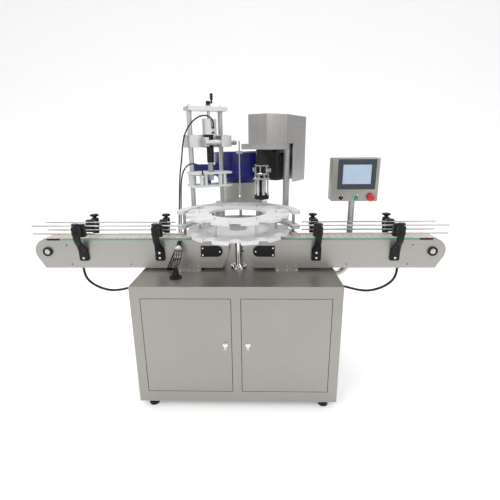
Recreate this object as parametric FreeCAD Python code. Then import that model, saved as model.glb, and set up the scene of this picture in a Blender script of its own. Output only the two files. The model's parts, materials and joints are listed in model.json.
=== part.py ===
import FreeCAD, Part
import math
import os

# Rotary capping machine: a cabinet on feet, two slat conveyors that meet a star wheel,
# a cap placer and a capping head on the two sides of the star wheel's back half,
# a bowl feeder behind them and an operator box on a post. Millimetres, +Z up.
# Origin: on the floor, below the star wheel's axis. The machine is fed along X.

V = FreeCAD.Vector
UP = V(0, 0, 1)

# fits
RUN_FIT = 0.05            # radial running clearance of a shaft in its bore
BODY_GAP = 0.4            # gap between curved faces of different bodies

# cabinet
CABINET_WIDTH = 1000.0
CABINET_DEPTH = 960.0
CABINET_FRONT = -288.0
SHEET = 3.0
TOP_SHEET = 6.0
TOP_HEIGHT = 667.0        # upper face of the cabinet's top
FOOT_HEIGHT = 38.0
FOOT_RADIUS = 25.0
FOOT_INSET = 60.0
FOOT_STEM_RADIUS = 6.0
STILE = 50.0              # upright between the two doors
SIDE_STILE = 50.0
DOOR_BOTTOM = 100.0
DOOR_TOP = 605.0
DOOR_GAP = 3.0
DOOR_DEPTH = 18.0
DOOR_SHEET = 2.0
DOOR_PIN_RADIUS = 3.0
DOOR_PIN_INSET = 6.0
LATCH_HEIGHT = 364.0
LATCH_INSET = 30.0
LATCH_RADIUS = 12.0

# conveyors
CONVEYOR_REACH = 1056.0   # from the star wheel's axis to the end of a side plate
PLATE_TOP = 834.0
PLATE_BOTTOM = 680.0
PLATE_THICK = 3.0
CONVEYOR_HALF_WIDTH = 57.0
END_RADIUS = 66.0
SHAFT_HEIGHT = 770.0
CHAIN_WIDTH = 82.5
CHAIN_THICK = 5.0
CHAIN_RADIUS = 66.0       # outer face of the slats round a sprocket
INNER_EDGE = 46.0
PLATE_SLANT_X = 81.0      # where the inner end's slant meets the lower edge
PLATE_SLANT_Z = 766.0
OUTER_FOOT_X = 1014.0     # where the outer end's slant meets the lower edge
SHAFT_RADIUS = 12.5
SPROCKET_WIDTH = 26.0
BEARING_RADIUS = 22.5
BEARING_DEPTH = 7.0
STRIP_TOP = 838.0
STRIP_HEIGHT = 9.0
STRIP_THICK = 5.0
STRIP_INNER = 222.0
STRIP_OUTER = 918.0
NOSE_OUTER = 986.0
FOOT_PLATE_INNER = 192.0
FOOT_PLATE_OUTER = 312.0
REAR_FOOT_PLATE_OUTER = 270.0   # stops short of the fence post
FOOT_PLATE_REACH = 27.0
FOOT_PLATE_THICK = 4.0
FOOT_PLATE_RISE = 40.0
TRAY_INNER = 520.0        # drip tray between the side plates
TRAY_OUTER = 960.0
COVER_PLATE_RADIUS = 28.0 # cap over the inner shaft
COVER_PLATE_END = 190.0

# guide rails
RAIL_RADIUS = 4.0
RAIL_OFFSET = 45.0
RAIL_LOW = 861.0
RAIL_HIGH = 902.0
FRONT_RAIL_ENDS = (272.0, 1063.0)
REAR_RAIL_ENDS = (335.0, 1036.0)
STATIONS = (402.0, 800.0)
ARM_OFFSET = 112.0        # from the conveyor's middle to the arm's clamp
ARM_FOOT_Z = 722.0
ARM_WIDTH = 46.0
ARM_HEAD_WIDTH = 66.0
ARM_THICK = 16.0
HEAD_TOP = 914.0
PIN_RADIUS = 6.0
PIN_HEIGHT = 882.0
KNOB_RADIUS = 24.0
KNOB_STEM_RADIUS = 4.0

# star wheel
POCKETS = 12
POCKET_RADIUS = 31.0
PITCH_RADIUS = 250.0
STAR_RADIUS = 265.0
LOWER_DISC = (858.0, 876.0)
UPPER_DISC = (949.0, 963.0)
DISC_HOLE = 147.0
COLUMN_RADIUS = 16.5
STANDOFF_RADIUS = 6.5
STANDOFF_CIRCLE = 197.0
STANDOFFS = 6
SLOT_CIRCLE = 168.0
FENCE_INNER = 284.0
FENCE_OUTER = 330.0
FENCE_THICK = 18.0
FENCE_START = 9.0         # degrees from the X axis to the middle of a fence end
FENCE_POST_CIRCLE = 307.0
FENCE_POST_RADIUS = 8.0
FENCE_POST_ANGLES = (16.0, 58.0, 90.0, 122.0, 164.0)
SLIDE_TOP = 836.0
SLIDE_THICK = 8.0
SLIDE_INNER = 190.0

# cap placer, on a tangent of the star wheel
PLACER_ANGLE = -30.0
PLACER_POST_R = 395.0
PLACER_POST_V = 94.0
PLACER_POST_RADIUS = 14.0
PLACER_TOP = 1500.0
PLACER_PLATE_THICK = 22.0
SCREW_R = 362.0
SCREW_V = 8.0
SCREW_RADIUS = 8.0
CRANK_TURN = 190.0
CARRIAGE_LOW = 1282.0
CARRIAGE_HIGH = 1350.0
CARRIAGE_TRAVEL = 20.0
BAR_R = 300.0             # cross bar in front of the carriage
BAR_Z = 1309.0
BAR_LENGTH = 190.0
BAR_RADIUS = 15.0
CYLINDER_R = 322.0
CYLINDER_V = -5.0
BARREL_RADIUS = 20.0
ROD_RADIUS = 16.0
PUSHER_TOP = 1118.0
PUSHER_HEIGHT = 18.0
SLEEVE_LENGTH = 82.0
BODY_HEIGHT = 82.0
PORT_Y = -6.0
PORT_HEIGHTS = (10.0, 36.0)
ELBOW_REACH = 14.0
ELBOW_RISE = 6.0
ELBOW_RADIUS = 6.0
GUIDE_LOW = 1062.0
GUIDE_HIGH = 1147.0
GUIDE_THICK = 12.0
GUIDE_BACK_R = 424.0
GUIDE_BLOCK_R = 299.0
GUIDE_BLOCKS = (-70.0, -45.0, 45.0, 72.0)
GUIDE_PORT_V = -70.0
GUIDE_PORT_Z = 1125.0

# capping head, on a radius of the star wheel
HEAD_ANGLE = 30.0
COLUMN_R = 386.0
COLUMN_V = 86.0
HEAD_COLUMN_RADIUS = 19.0
HEAD_PLATE_LOW = 1270.0
HEAD_PLATE_HIGH = 1300.0
COVER_TOP = 1450.0
COVER_SHEET = 2.0
COVER_FRONT_R = 204.0
COVER_FRONT_HALF = 57.0
COVER_WIDE_R = 312.0
COVER_HALF = 120.0
COVER_BACK_R = 570.0
SKIRT_BOTTOM = 1086.0
SKIRT_R = 396.0
CHUCK_BOTTOM = 999.0
CHUCK_TOP = 1189.0
CLUTCH_TOP = 1240.0
CLUTCH_RADIUS = 33.0
QUILL_RADIUS = 28.0
DRIVE_SHAFT_RADIUS = 10.0
HEAD_MOTOR_R = 405.0
HEAD_MOTOR_LOW = 1094.0
SENSOR_ARM_Z = 1255.0
SENSOR_LOW = 1006.0

# bowl feeder
BOWL_X = -8.0
BOWL_Y = 610.0
BOWL_RADIUS = 176.5
BOWL_TOP = 1249.0
BOWL_BOTTOM = 1061.0
BOWL_WALL = 4.0
DRIVE_RADIUS = 114.0
STAND_TOP = 925.0
CHUTE_SHEET = 4.0
CHUTE_GAP = 0.5           # from the bowl's wall
CHUTE_LEFT = -308.0
CHUTE_RIGHT = -120.0
CHUTE_FRONT = 462.0
CHUTE_BACK = 580.0
CHUTE_BOTTOM = 1110.0
CHUTE_TOP = 1174.0
SPOUT_X = -232.0
SPOUT_WIDTH = 52.0
SPOUT_HEIGHT = 26.0
SPOUT_REACH = 18.0

# operator box
BOX_X = 606.0
BOX_WIDTH = 242.0
BOX_HEIGHT = 221.0
BOX_DEPTH = 90.0
BOX_FRONT = 62.0
BOX_BOTTOM = 1007.0
BOX_POST_RADIUS = 16.5
BOX_POST_BEND = 70.0
BOX_POST_LOW = 592.0

# cables and hoses
CABLE_RADIUS = 6.5
HOSE_RADIUS = 4.0
CABLE_X = 845.0
CABLE_Y = -20.0
CABLE_Z = 565.0
GLAND_THREAD = 8.0
GLAND_RADIUS = 12.0
GLAND_LENGTH = 18.0
HOSE_FOOT = (-372.0, 262.0)
SECOND_FOOT = (-361.0, 262.0)
SENSOR_FOOT = (-303.0, -170.0)
COUPLER_FOOT = V(-297, -128, 748)
COUPLER_AXIS = V(0, 0.546, 0.838)
COUPLER_LENGTH = 50.0
COUPLER_CONE = 25.0
LEAD_SPREAD = (-12.0, 0.0, 12.0)
LEAD_RADIUS = 2.5
SIDE_LEAD_RADIUS = 3.0
CLIP_FRONT = -24.0


def box(x0, x1, y0, y1, z0, z1):
    return Part.makeBox(x1 - x0, y1 - y0, z1 - z0, V(x0, y0, z0))


def rod(x, y, z0, z1, radius):
    return Part.makeCylinder(radius, z1 - z0, V(x, y, z0), UP)


def bar(start, end, radius):
    way = end.sub(start)
    return Part.makeCylinder(radius, way.Length, start, way)


def tube(x, y, z0, z1, outer, inner):
    return rod(x, y, z0, z1, outer).cut(rod(x, y, z0 - 1, z1 + 1, inner))


def prism(points, way):
    wire = Part.makePolygon([*points, points[0]])
    return Part.Face(wire).extrude(way)


def joined(pieces):
    whole = pieces[0]
    for piece in pieces[1:]:
        whole = whole.fuse(piece)
    return whole.removeSplitter()


def group(pieces):
    return Part.makeCompound(pieces)


def mirrored(shape):
    return shape.mirror(V(0, 0, 0), V(1, 0, 0))


def station(shape, angle):
    # local X is the radius away from the star wheel, local Y points left of it
    turned = shape.copy()
    turned.rotate(V(0, 0, 0), UP, 90 - angle)
    return turned


def place(angle, r, v, z):
    # r along the station's radius, v to the right of it
    turn = math.radians(angle)
    x = r * math.sin(turn) + v * math.cos(turn)
    y = r * math.cos(turn) - v * math.sin(turn)
    return V(x, y, z)


def save(name, shape):
    shape.exportStep("parts/" + name + ".step")


def cord(points, radius, name):
    # straight runs joined by tangent arcs
    edges = []
    last = points[0]
    radii = []
    for before, corner, after in zip(points, points[1:], points[2:]):
        back = before.sub(corner)
        ahead = after.sub(corner)
        reach = 0.45 * min(back.Length, ahead.Length)
        back.normalize()
        ahead.normalize()
        half_turn = (math.pi - back.getAngle(ahead)) / 2
        bend = reach / math.tan(half_turn)
        radii.append(bend)
        start = corner.add(V(back).multiply(reach))
        end = corner.add(V(ahead).multiply(reach))
        inward = back.add(ahead)
        inward.normalize()
        sagitta = bend / math.cos(half_turn) - bend
        middle = corner.add(inward.multiply(sagitta))
        edges.append(Part.LineSegment(last, start).toShape())
        edges.append(Part.Arc(start, middle, end).toShape())
        last = end
    edges.append(Part.LineSegment(last, points[-1]).toShape())
    path = Part.Wire(edges)
    first = points[1].sub(points[0])
    section = Part.Wire(Part.makeCircle(radius, points[0], first))
    swept = path.makePipeShell([section], True, True)
    share = swept.Volume / (math.pi * radius ** 2 * path.Length)
    print(name, "length", round(path.Length), "volume share", round(share, 4))
    print("    radii", [round(r) for r in radii])
    return swept


# cabinet

half_width = CABINET_WIDTH / 2
cabinet_back = CABINET_FRONT + CABINET_DEPTH
shell_top = TOP_HEIGHT - TOP_SHEET
opening_low = DOOR_BOTTOM - DOOR_GAP
opening_high = DOOR_TOP + DOOR_GAP
door_inner = STILE / 2
door_outer = half_width - SIDE_STILE
pin_x = door_outer - DOOR_PIN_INSET
pin_y = CABINET_FRONT + DOOR_PIN_RADIUS + 2


def door_frame(side):
    # folded returns round a door opening
    x0 = door_inner - DOOR_GAP - SHEET
    x1 = door_outer + DOOR_GAP + SHEET
    z0 = opening_low - SHEET
    z1 = opening_high + SHEET
    ring = box(x0, x1, CABINET_FRONT, CABINET_FRONT + DOOR_DEPTH + 6, z0, z1)
    hole = box(x0 + SHEET, x1 - SHEET, CABINET_FRONT - 1, CABINET_FRONT + DOOR_DEPTH + 8,
               z0 + SHEET, z1 - SHEET)
    ring = ring.cut(hole)
    return ring if side > 0 else mirrored(ring)


def pin_bore(side):
    bore = rod(pin_x, pin_y, opening_low - SHEET - 1, opening_high + SHEET + 1, DOOR_PIN_RADIUS + RUN_FIT)
    return bore if side > 0 else mirrored(bore)


def door_hole(side):
    x0 = door_inner - DOOR_GAP
    x1 = door_outer + DOOR_GAP
    hole = box(x0, x1, CABINET_FRONT - 1, CABINET_FRONT + SHEET + 1, opening_low, opening_high)
    return hole if side > 0 else mirrored(hole)


def cabinet_shell():
    outer = box(-half_width, half_width, CABINET_FRONT, cabinet_back, FOOT_HEIGHT, shell_top)
    inner = box(-half_width + SHEET, half_width - SHEET, CABINET_FRONT + SHEET, cabinet_back - SHEET,
                FOOT_HEIGHT + SHEET, shell_top + 1)
    shell = outer.cut(inner)
    for side in (-1, 1):
        shell = shell.cut(door_hole(side))
    shell = joined([shell, door_frame(-1), door_frame(1)])
    for side in (-1, 1):
        shell = shell.cut(pin_bore(side))
        inside = V(side * (half_width - 9), CABLE_Y, CABLE_Z)
        shell = shell.cut(bar(V(side * (half_width + 5), CABLE_Y, CABLE_Z), inside, GLAND_THREAD))
    top = box(-half_width, half_width, CABINET_FRONT, cabinet_back, shell_top, TOP_HEIGHT)
    top = top.cut(rod(0, 0, shell_top - 1, TOP_HEIGHT + 1, COLUMN_RADIUS + 8))
    return group([shell, top])


def feet():
    pieces = []
    for x in (-half_width + FOOT_INSET, half_width - FOOT_INSET):
        for y in (CABINET_FRONT + FOOT_INSET - 20, cabinet_back - FOOT_INSET):
            pad = rod(x, y, 0, 16, FOOT_RADIUS)
            neck = Part.makeCone(FOOT_RADIUS - 4, FOOT_STEM_RADIUS + 4, 10, V(x, y, 16), UP)
            stem = rod(x, y, 26, FOOT_HEIGHT, FOOT_STEM_RADIUS)
            nut = rod(x, y, FOOT_HEIGHT - 7, FOOT_HEIGHT, FOOT_STEM_RADIUS + 5)
            pieces.append(joined([pad, neck, stem, nut]))
    return group(pieces)


def door(side):
    # a folded pan, open at the back, hung on two pins
    x0, x1 = door_inner, door_outer
    y0 = CABINET_FRONT
    pan = box(x0, x1, y0, y0 + DOOR_DEPTH, DOOR_BOTTOM, DOOR_TOP)
    hollow = box(x0 + DOOR_SHEET, x1 - DOOR_SHEET, y0 + DOOR_SHEET, y0 + DOOR_DEPTH + 1,
                 DOOR_BOTTOM + DOOR_SHEET, DOOR_TOP - DOOR_SHEET)
    pan = pan.cut(hollow)
    pins = []
    for low, high in ((opening_low - SHEET, DOOR_BOTTOM + 30), (DOOR_TOP - 30, opening_high + SHEET)):
        pins.append(rod(pin_x, pin_y, low, high, DOOR_PIN_RADIUS))
    lock_x = x0 + LATCH_INSET
    lock = Part.makeCylinder(8 + RUN_FIT, DOOR_SHEET + 2, V(lock_x, y0 - 1, LATCH_HEIGHT), V(0, 1, 0))
    whole = joined([pan, *pins]).cut(lock)
    return whole if side > 0 else mirrored(whole)


def latch(side):
    # round rose and grip outside, cam inside
    x = door_inner + LATCH_INSET
    y = CABINET_FRONT
    cam_y = y + DOOR_DEPTH + 8
    barrel = Part.makeCylinder(8, cam_y - y + 4, V(x, y - 1, LATCH_HEIGHT), V(0, 1, 0))
    rose = Part.makeCylinder(LATCH_RADIUS, 3, V(x, y - 3, LATCH_HEIGHT), V(0, 1, 0))
    grip = box(x - 4, x + 4, y - 12, y - 2, LATCH_HEIGHT - 10, LATCH_HEIGHT + 10)
    cam = box(x - 9, x + 9, cam_y, cam_y + 3, LATCH_HEIGHT - 9, LATCH_HEIGHT + 36)
    whole = joined([barrel, rose, grip, cam])
    return whole if side > 0 else mirrored(whole)


def electrics():
    # mounting plate on the back wall with its rails and switchgear
    y1 = cabinet_back - SHEET - 12
    plate = box(-380, -20, y1 - 3, y1, 150, 600)
    pieces = [plate]
    for x in (-360, -60):
        for z in (170, 570):
            pieces.append(Part.makeCylinder(6, 12, V(x + 10, y1, z), V(0, 1, 0)))
    for z, depth in ((500, 90), (360, 70), (220, 60)):
        pieces.append(box(-360, -40, y1 - 10, y1 - 3, z - 17, z + 17))
        for index in range(6):
            x = -352 + index * 52
            pieces.append(box(x, x + 44, y1 - 10 - depth, y1 - 10, z - 45, z + 45))
    return group(pieces)


def gearmotors():
    # indexing box under the star wheel with its motor, and one motor on each conveyor
    box_top = shell_top
    case = box(-110, 110, -110, 110, box_top - 170, box_top)
    bore = rod(0, 0, box_top - 60, box_top + 1, COLUMN_RADIUS + RUN_FIT)
    index_case = case.cut(bore)
    index_motor = Part.makeCylinder(62, 210, V(110, 0, box_top - 95), V(1, 0, 0))
    pieces = [index_case, index_motor]
    for side in (-1, 1):
        x = side * outer_shaft_x
        y = CONVEYOR_HALF_WIDTH
        gear = box(x - 42, x + 42, y, y + 60, SHAFT_HEIGHT - 62, SHAFT_HEIGHT + 32)
        gear = gear.cut(cross_rod(x, SHAFT_HEIGHT, y - 1, y + 39, SHAFT_RADIUS + RUN_FIT))
        motor = Part.makeCylinder(38, 120, V(x, y + 60, SHAFT_HEIGHT - 22), V(0, 1, 0))
        pieces += [gear, motor]
    return group(pieces)


# conveyors

outer_shaft_x = CONVEYOR_REACH - END_RADIUS
inner_shaft_x = INNER_EDGE + CHAIN_RADIUS


def plate_outline(y):
    # side plate: slanted inner end, round outer end with a slant down to the lower edge
    cx, cz, r = outer_shaft_x, SHAFT_HEIGHT, END_RADIUS
    dx, dz = OUTER_FOOT_X - cx, PLATE_BOTTOM - cz
    reach = math.hypot(dx, dz)
    touch = math.atan2(dz, dx) + math.acos(r / reach)
    tx, tz = cx + r * math.cos(touch), cz + r * math.sin(touch)
    top_angle = math.asin((PLATE_TOP - cz) / r)
    ax, az = cx + r * math.cos(top_angle), PLATE_TOP
    mid = (touch + top_angle) / 2
    corners = [
        V(ax, y, az),
        V(INNER_EDGE, y, PLATE_TOP),
        V(INNER_EDGE, y, PLATE_SLANT_Z),
        V(PLATE_SLANT_X, y, PLATE_BOTTOM),
        V(OUTER_FOOT_X, y, PLATE_BOTTOM),
        V(tx, y, tz),
    ]
    edges = [Part.LineSegment(a, b).toShape() for a, b in zip(corners, corners[1:])]
    bulge = V(cx + r * math.cos(mid), y, cz + r * math.sin(mid))
    edges.append(Part.Arc(corners[-1], bulge, corners[0]).toShape())
    return Part.Face(Part.Wire(edges))


def cross_rod(x, z, y0, y1, radius):
    return Part.makeCylinder(radius, y1 - y0, V(x, y0, z), V(0, 1, 0))


def conveyor_frame(side):
    w = CONVEYOR_HALF_WIDTH
    pieces = []
    for y0 in (-w, w - PLATE_THICK):
        plate = plate_outline(y0).extrude(V(0, PLATE_THICK, 0))
        for x in (outer_shaft_x, inner_shaft_x):
            plate = plate.cut(cross_rod(x, SHAFT_HEIGHT, y0 - 1, y0 + 5, SHAFT_RADIUS + 4))
        pieces.append(plate)
    inside = w - PLATE_THICK
    for x in (260.0, 520.0, 780.0):
        pieces.append(cross_rod(x, SHAFT_HEIGHT, -inside, inside, 8))
        pieces.append(cross_rod(x, PLATE_BOTTOM + 10, -inside, inside, 6))
    tray = box(TRAY_INNER, TRAY_OUTER, -inside, inside, PLATE_BOTTOM, PLATE_BOTTOM + 2)
    hole = rod(CABLE_X, 0, PLATE_BOTTOM - 1, PLATE_BOTTOM + 3, GLAND_THREAD)
    pieces.append(tray.cut(hole))
    # bearing housings on both faces of the outer end, inside the plates at the inner end
    for x, reach in ((outer_shaft_x, w), (inner_shaft_x, inside - BEARING_DEPTH)):
        for y0 in (-reach - BEARING_DEPTH, reach):
            if x == outer_shaft_x and y0 > 0:
                y0 = inside - BEARING_DEPTH
            ring = cross_rod(x, SHAFT_HEIGHT, y0, y0 + BEARING_DEPTH, BEARING_RADIUS)
            y1 = y0 + BEARING_DEPTH
            ring = ring.cut(cross_rod(x, SHAFT_HEIGHT, y0 - 1, y1 + 1, SHAFT_RADIUS + RUN_FIT))
            pieces.append(ring)
    # angle brackets that carry the conveyor on the cabinet
    for way in (-1, 1):
        y_face = way * w
        y_out = way * (w + FOOT_PLATE_REACH)
        low, high = min(y_face, y_out), max(y_face, y_out)
        outer = FOOT_PLATE_OUTER if way < 0 else REAR_FOOT_PLATE_OUTER
        base = box(FOOT_PLATE_INNER, outer, low, high, TOP_HEIGHT, TOP_HEIGHT + FOOT_PLATE_THICK)
        wall_out = y_face + way * FOOT_PLATE_THICK
        wall = box(FOOT_PLATE_INNER, outer, min(y_face, wall_out), max(y_face, wall_out),
                   TOP_HEIGHT, TOP_HEIGHT + FOOT_PLATE_RISE)
        pieces.append(joined([base, wall]))
    whole = group(pieces)
    return whole if side > 0 else mirrored(whole)


def stadium(x0, x1, z, r, y0, y1):
    body = box(x0, x1, y0, y1, z - r, z + r)
    return joined([body, cross_rod(x0, z, y0, y1, r), cross_rod(x1, z, y0, y1, r)])


def chain(side):
    half = CHAIN_WIDTH / 2
    r = CHAIN_RADIUS
    outer = stadium(inner_shaft_x, outer_shaft_x, SHAFT_HEIGHT, r, -half, half)
    inner = stadium(inner_shaft_x, outer_shaft_x, SHAFT_HEIGHT, r - CHAIN_THICK, -half - 1, half + 1)
    band = outer.cut(inner)
    return band if side > 0 else mirrored(band)


def sprocket_shaft(x, side, y0, y1):
    shaft = cross_rod(x, SHAFT_HEIGHT, y0, y1, SHAFT_RADIUS)
    r = CHAIN_RADIUS - CHAIN_THICK - BODY_GAP
    half = SPROCKET_WIDTH / 2
    wheel = cross_rod(x, SHAFT_HEIGHT, -half, half, r)
    for index in range(6):
        a = math.radians(60 * index)
        hole = cross_rod(x + 38 * math.cos(a), SHAFT_HEIGHT + 38 * math.sin(a), -half - 1, half + 1, 10)
        wheel = wheel.cut(hole)
    hub = cross_rod(x, SHAFT_HEIGHT, -half - 8, half + 8, 22)
    whole = joined([shaft, wheel, hub])
    return whole if side > 0 else mirrored(whole)


def wear_strips():
    w = CONVEYOR_HALF_WIDTH
    pieces = []
    for side in (-1, 1):
        for way in (-1, 1):
            y0 = way * (w - PLATE_THICK / 2) - STRIP_THICK / 2
            strip = box(STRIP_INNER, STRIP_OUTER, y0, y0 + STRIP_THICK, STRIP_TOP - STRIP_HEIGHT, STRIP_TOP)
            edge = way * (w - PLATE_THICK)
            groove = box(STRIP_INNER - 1, STRIP_OUTER + 1, min(edge, way * w), max(edge, way * w),
                         STRIP_TOP - STRIP_HEIGHT - 1, PLATE_TOP)
            strip = strip.cut(groove)
            pieces.append(strip if side > 0 else mirrored(strip))
        for y in (-28.0, 28.0):
            under = SHAFT_HEIGHT + CHAIN_RADIUS - CHAIN_THICK
            slide = box(inner_shaft_x + 70, outer_shaft_x - 70, y - 6, y + 6, SHAFT_HEIGHT + 8, under)
            pieces.append(slide if side > 0 else mirrored(slide))
    return group(pieces)


def conveyor_covers():
    w = CONVEYOR_HALF_WIDTH
    pieces = []
    for side in (-1, 1):
        for way in (-1, 1):
            edge = way * (w - PLATE_THICK)
            y0 = way * (w - PLATE_THICK / 2) - STRIP_THICK / 2
            nose = box(STRIP_OUTER, NOSE_OUTER, y0, y0 + STRIP_THICK, STRIP_TOP - STRIP_HEIGHT, STRIP_TOP)
            groove = box(STRIP_OUTER - 1, NOSE_OUTER + 1, min(edge, way * w), max(edge, way * w),
                         STRIP_TOP - STRIP_HEIGHT - 1, PLATE_TOP)
            nose = nose.cut(groove)
            pieces.append(nose if side > 0 else mirrored(nose))
            # cap over the inner shaft's end, round towards the star wheel
            y1 = way * (w + 7)
            low, high = min(way * w, y1), max(way * w, y1)
            r = COVER_PLATE_RADIUS
            flat = box(inner_shaft_x - 6, COVER_PLATE_END, low, high, SHAFT_HEIGHT - r, SHAFT_HEIGHT + r)
            cap = joined([flat, cross_rod(inner_shaft_x - 6, SHAFT_HEIGHT, low, high, r)])
            pocket_low = min(way * w, way * (w + 4)) - 0.01
            pocket_high = max(way * w, way * (w + 4)) + 0.01
            pocket = cross_rod(inner_shaft_x, SHAFT_HEIGHT, pocket_low, pocket_high, SHAFT_RADIUS + 4)
            cap = cap.cut(pocket)
            pieces.append(cap if side > 0 else mirrored(cap))
    return group(pieces)


# guide rails

def rail_arms():
    # eight curved plastic arms, four along each conveyor, each with a bored head
    pieces = []
    w = CONVEYOR_HALF_WIDTH
    for side in (-1, 1):
        for x in STATIONS:
            for way in (-1, 1):
                inner_y = way * w
                out_y = way * ARM_OFFSET
                low_half = ARM_WIDTH / 2
                outline = [
                    V(0, inner_y, ARM_FOOT_Z),
                    V(0, inner_y + way * ARM_THICK * 0.7, ARM_FOOT_Z),
                    V(0, out_y + way * ARM_THICK / 2, 835),
                    V(0, out_y + way * ARM_THICK / 2, HEAD_TOP),
                    V(0, out_y - way * ARM_THICK / 2, HEAD_TOP),
                    V(0, out_y - way * ARM_THICK / 2, 846),
                    V(0, inner_y, 800),
                ]
                arm = prism(outline, V(ARM_HEAD_WIDTH, 0, 0))
                arm.translate(V(x - ARM_HEAD_WIDTH / 2, 0, 0))
                y0 = min(inner_y, out_y) - 40
                taper = [
                    V(x - low_half, y0, ARM_FOOT_Z - 1),
                    V(x + low_half, y0, ARM_FOOT_Z - 1),
                    V(x + ARM_HEAD_WIDTH / 2, y0, 835),
                    V(x + ARM_HEAD_WIDTH / 2, y0, HEAD_TOP + 1),
                    V(x - ARM_HEAD_WIDTH / 2, y0, HEAD_TOP + 1),
                    V(x - ARM_HEAD_WIDTH / 2, y0, 835),
                ]
                arm = arm.common(prism(taper, V(0, 140, 0)))
                bore = cross_rod(x, PIN_HEIGHT, out_y - 20, out_y + 20, PIN_RADIUS + RUN_FIT)
                knob_bore = rod(x, out_y, PIN_HEIGHT, HEAD_TOP + 1, KNOB_STEM_RADIUS + RUN_FIT)
                arm = arm.cut(bore)
                if way > 0:
                    arm = arm.cut(knob_bore)
                pieces.append(arm if side > 0 else mirrored(arm))
    return group(pieces)


def rail(side, way, ends):
    # two rods held by two clamp blocks, each block on a pin through its arm
    y = way * RAIL_OFFSET
    pieces = []
    for z in (RAIL_LOW, RAIL_HIGH):
        pieces.append(bar(V(ends[0], y, z), V(ends[1], y, z), RAIL_RADIUS))
    for x in STATIONS:
        block_y0, block_y1 = y + way * 3, y + way * 26
        low, high = min(block_y0, block_y1), max(block_y0, block_y1)
        block = box(x - 19, x + 19, low, high, RAIL_LOW - 12, RAIL_HIGH + 12)
        for z in (RAIL_LOW, RAIL_HIGH):
            block = block.cut(bar(V(x - 30, y, z), V(x + 30, y, z), RAIL_RADIUS))
        pin_out = way * (ARM_OFFSET + ARM_THICK / 2 + 14)
        pin = cross_rod(x, PIN_HEIGHT, min(block_y1, pin_out), max(block_y1, pin_out), PIN_RADIUS)
        pieces.append(joined([block, pin]))
    whole = group(pieces)
    return whole if side > 0 else mirrored(whole)


def knob(x):
    # five-lobed clamping knob on a stem that presses on the pin
    y = ARM_OFFSET
    bottom = HEAD_TOP + 8
    disc = rod(x, y, bottom, bottom + 13, KNOB_RADIUS - 6)
    pieces = [disc]
    for index in range(5):
        a = math.radians(72 * index + 18)
        lobe_x = x + (KNOB_RADIUS - 8) * math.cos(a)
        lobe_y = y + (KNOB_RADIUS - 8) * math.sin(a)
        pieces.append(rod(lobe_x, lobe_y, bottom, bottom + 13, 8))
    neck = rod(x, y, HEAD_TOP + BODY_GAP, bottom, 9)
    stem = rod(x, y, PIN_HEIGHT + PIN_RADIUS + BODY_GAP, bottom, KNOB_STEM_RADIUS)
    return joined([*pieces, neck, stem])


# star wheel

def star_disc(z0, z1, hole):
    disc = rod(0, 0, z0, z1, STAR_RADIUS)
    for index in range(POCKETS):
        a = 2 * math.pi * index / POCKETS
        pocket = rod(PITCH_RADIUS * math.cos(a), PITCH_RADIUS * math.sin(a), z0 - 1, z1 + 1, POCKET_RADIUS)
        disc = disc.cut(pocket)
    return disc.cut(rod(0, 0, z0 - 1, z1 + 1, hole))


def lower_disc():
    disc = star_disc(*LOWER_DISC, COLUMN_RADIUS)
    z0, z1 = LOWER_DISC
    for index in range(STANDOFFS):
        a0 = 360 * index / STANDOFFS + 82
        slot = Part.makeCylinder(SLOT_CIRCLE + 5, z1 - z0 + 2, V(0, 0, z0 - 1), UP, 16)
        slot = slot.cut(Part.makeCylinder(SLOT_CIRCLE - 5, z1 - z0 + 4, V(0, 0, z0 - 2), UP))
        slot.rotate(V(0, 0, 0), UP, a0)
        disc = disc.cut(slot)
    return disc


def standoffs():
    pieces = []
    for index in range(STANDOFFS):
        a = math.radians(360 / STANDOFFS * index)
        x, y = STANDOFF_CIRCLE * math.cos(a), STANDOFF_CIRCLE * math.sin(a)
        pieces.append(rod(x, y, LOWER_DISC[1], UPPER_DISC[0], STANDOFF_RADIUS))
        pieces.append(rod(x, y, UPPER_DISC[1], UPPER_DISC[1] + 4, STANDOFF_RADIUS - 1))
    hub = tube(0, 0, LOWER_DISC[1], LOWER_DISC[1] + 22, 45, COLUMN_RADIUS)
    return group([*pieces, hub])


def star_shaft():
    return rod(0, 0, shell_top - 55, LOWER_DISC[1] + 30, COLUMN_RADIUS)


def shaft_bearing():
    flange = tube(0, 0, TOP_HEIGHT, TOP_HEIGHT + 8, 41, COLUMN_RADIUS + RUN_FIT)
    boss = tube(0, 0, TOP_HEIGHT + 8, TOP_HEIGHT + 17, 25, COLUMN_RADIUS + RUN_FIT)
    pieces = [joined([flange, boss])]
    for index in range(6):
        a = math.radians(60 * index + 30)
        x, y = 33 * math.cos(a), 33 * math.sin(a)
        pieces.append(rod(x, y, TOP_HEIGHT + 8, TOP_HEIGHT + 14, 5))
    return group(pieces)


def ring_sector(r0, r1, z0, z1, start, sweep):
    outer = Part.makeCylinder(r1, z1 - z0, V(0, 0, z0), UP, sweep)
    inner = Part.makeCylinder(r0, z1 - z0 + 2, V(0, 0, z0 - 1), UP)
    sector = outer.cut(inner)
    sector.rotate(V(0, 0, 0), UP, start)
    return sector


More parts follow.
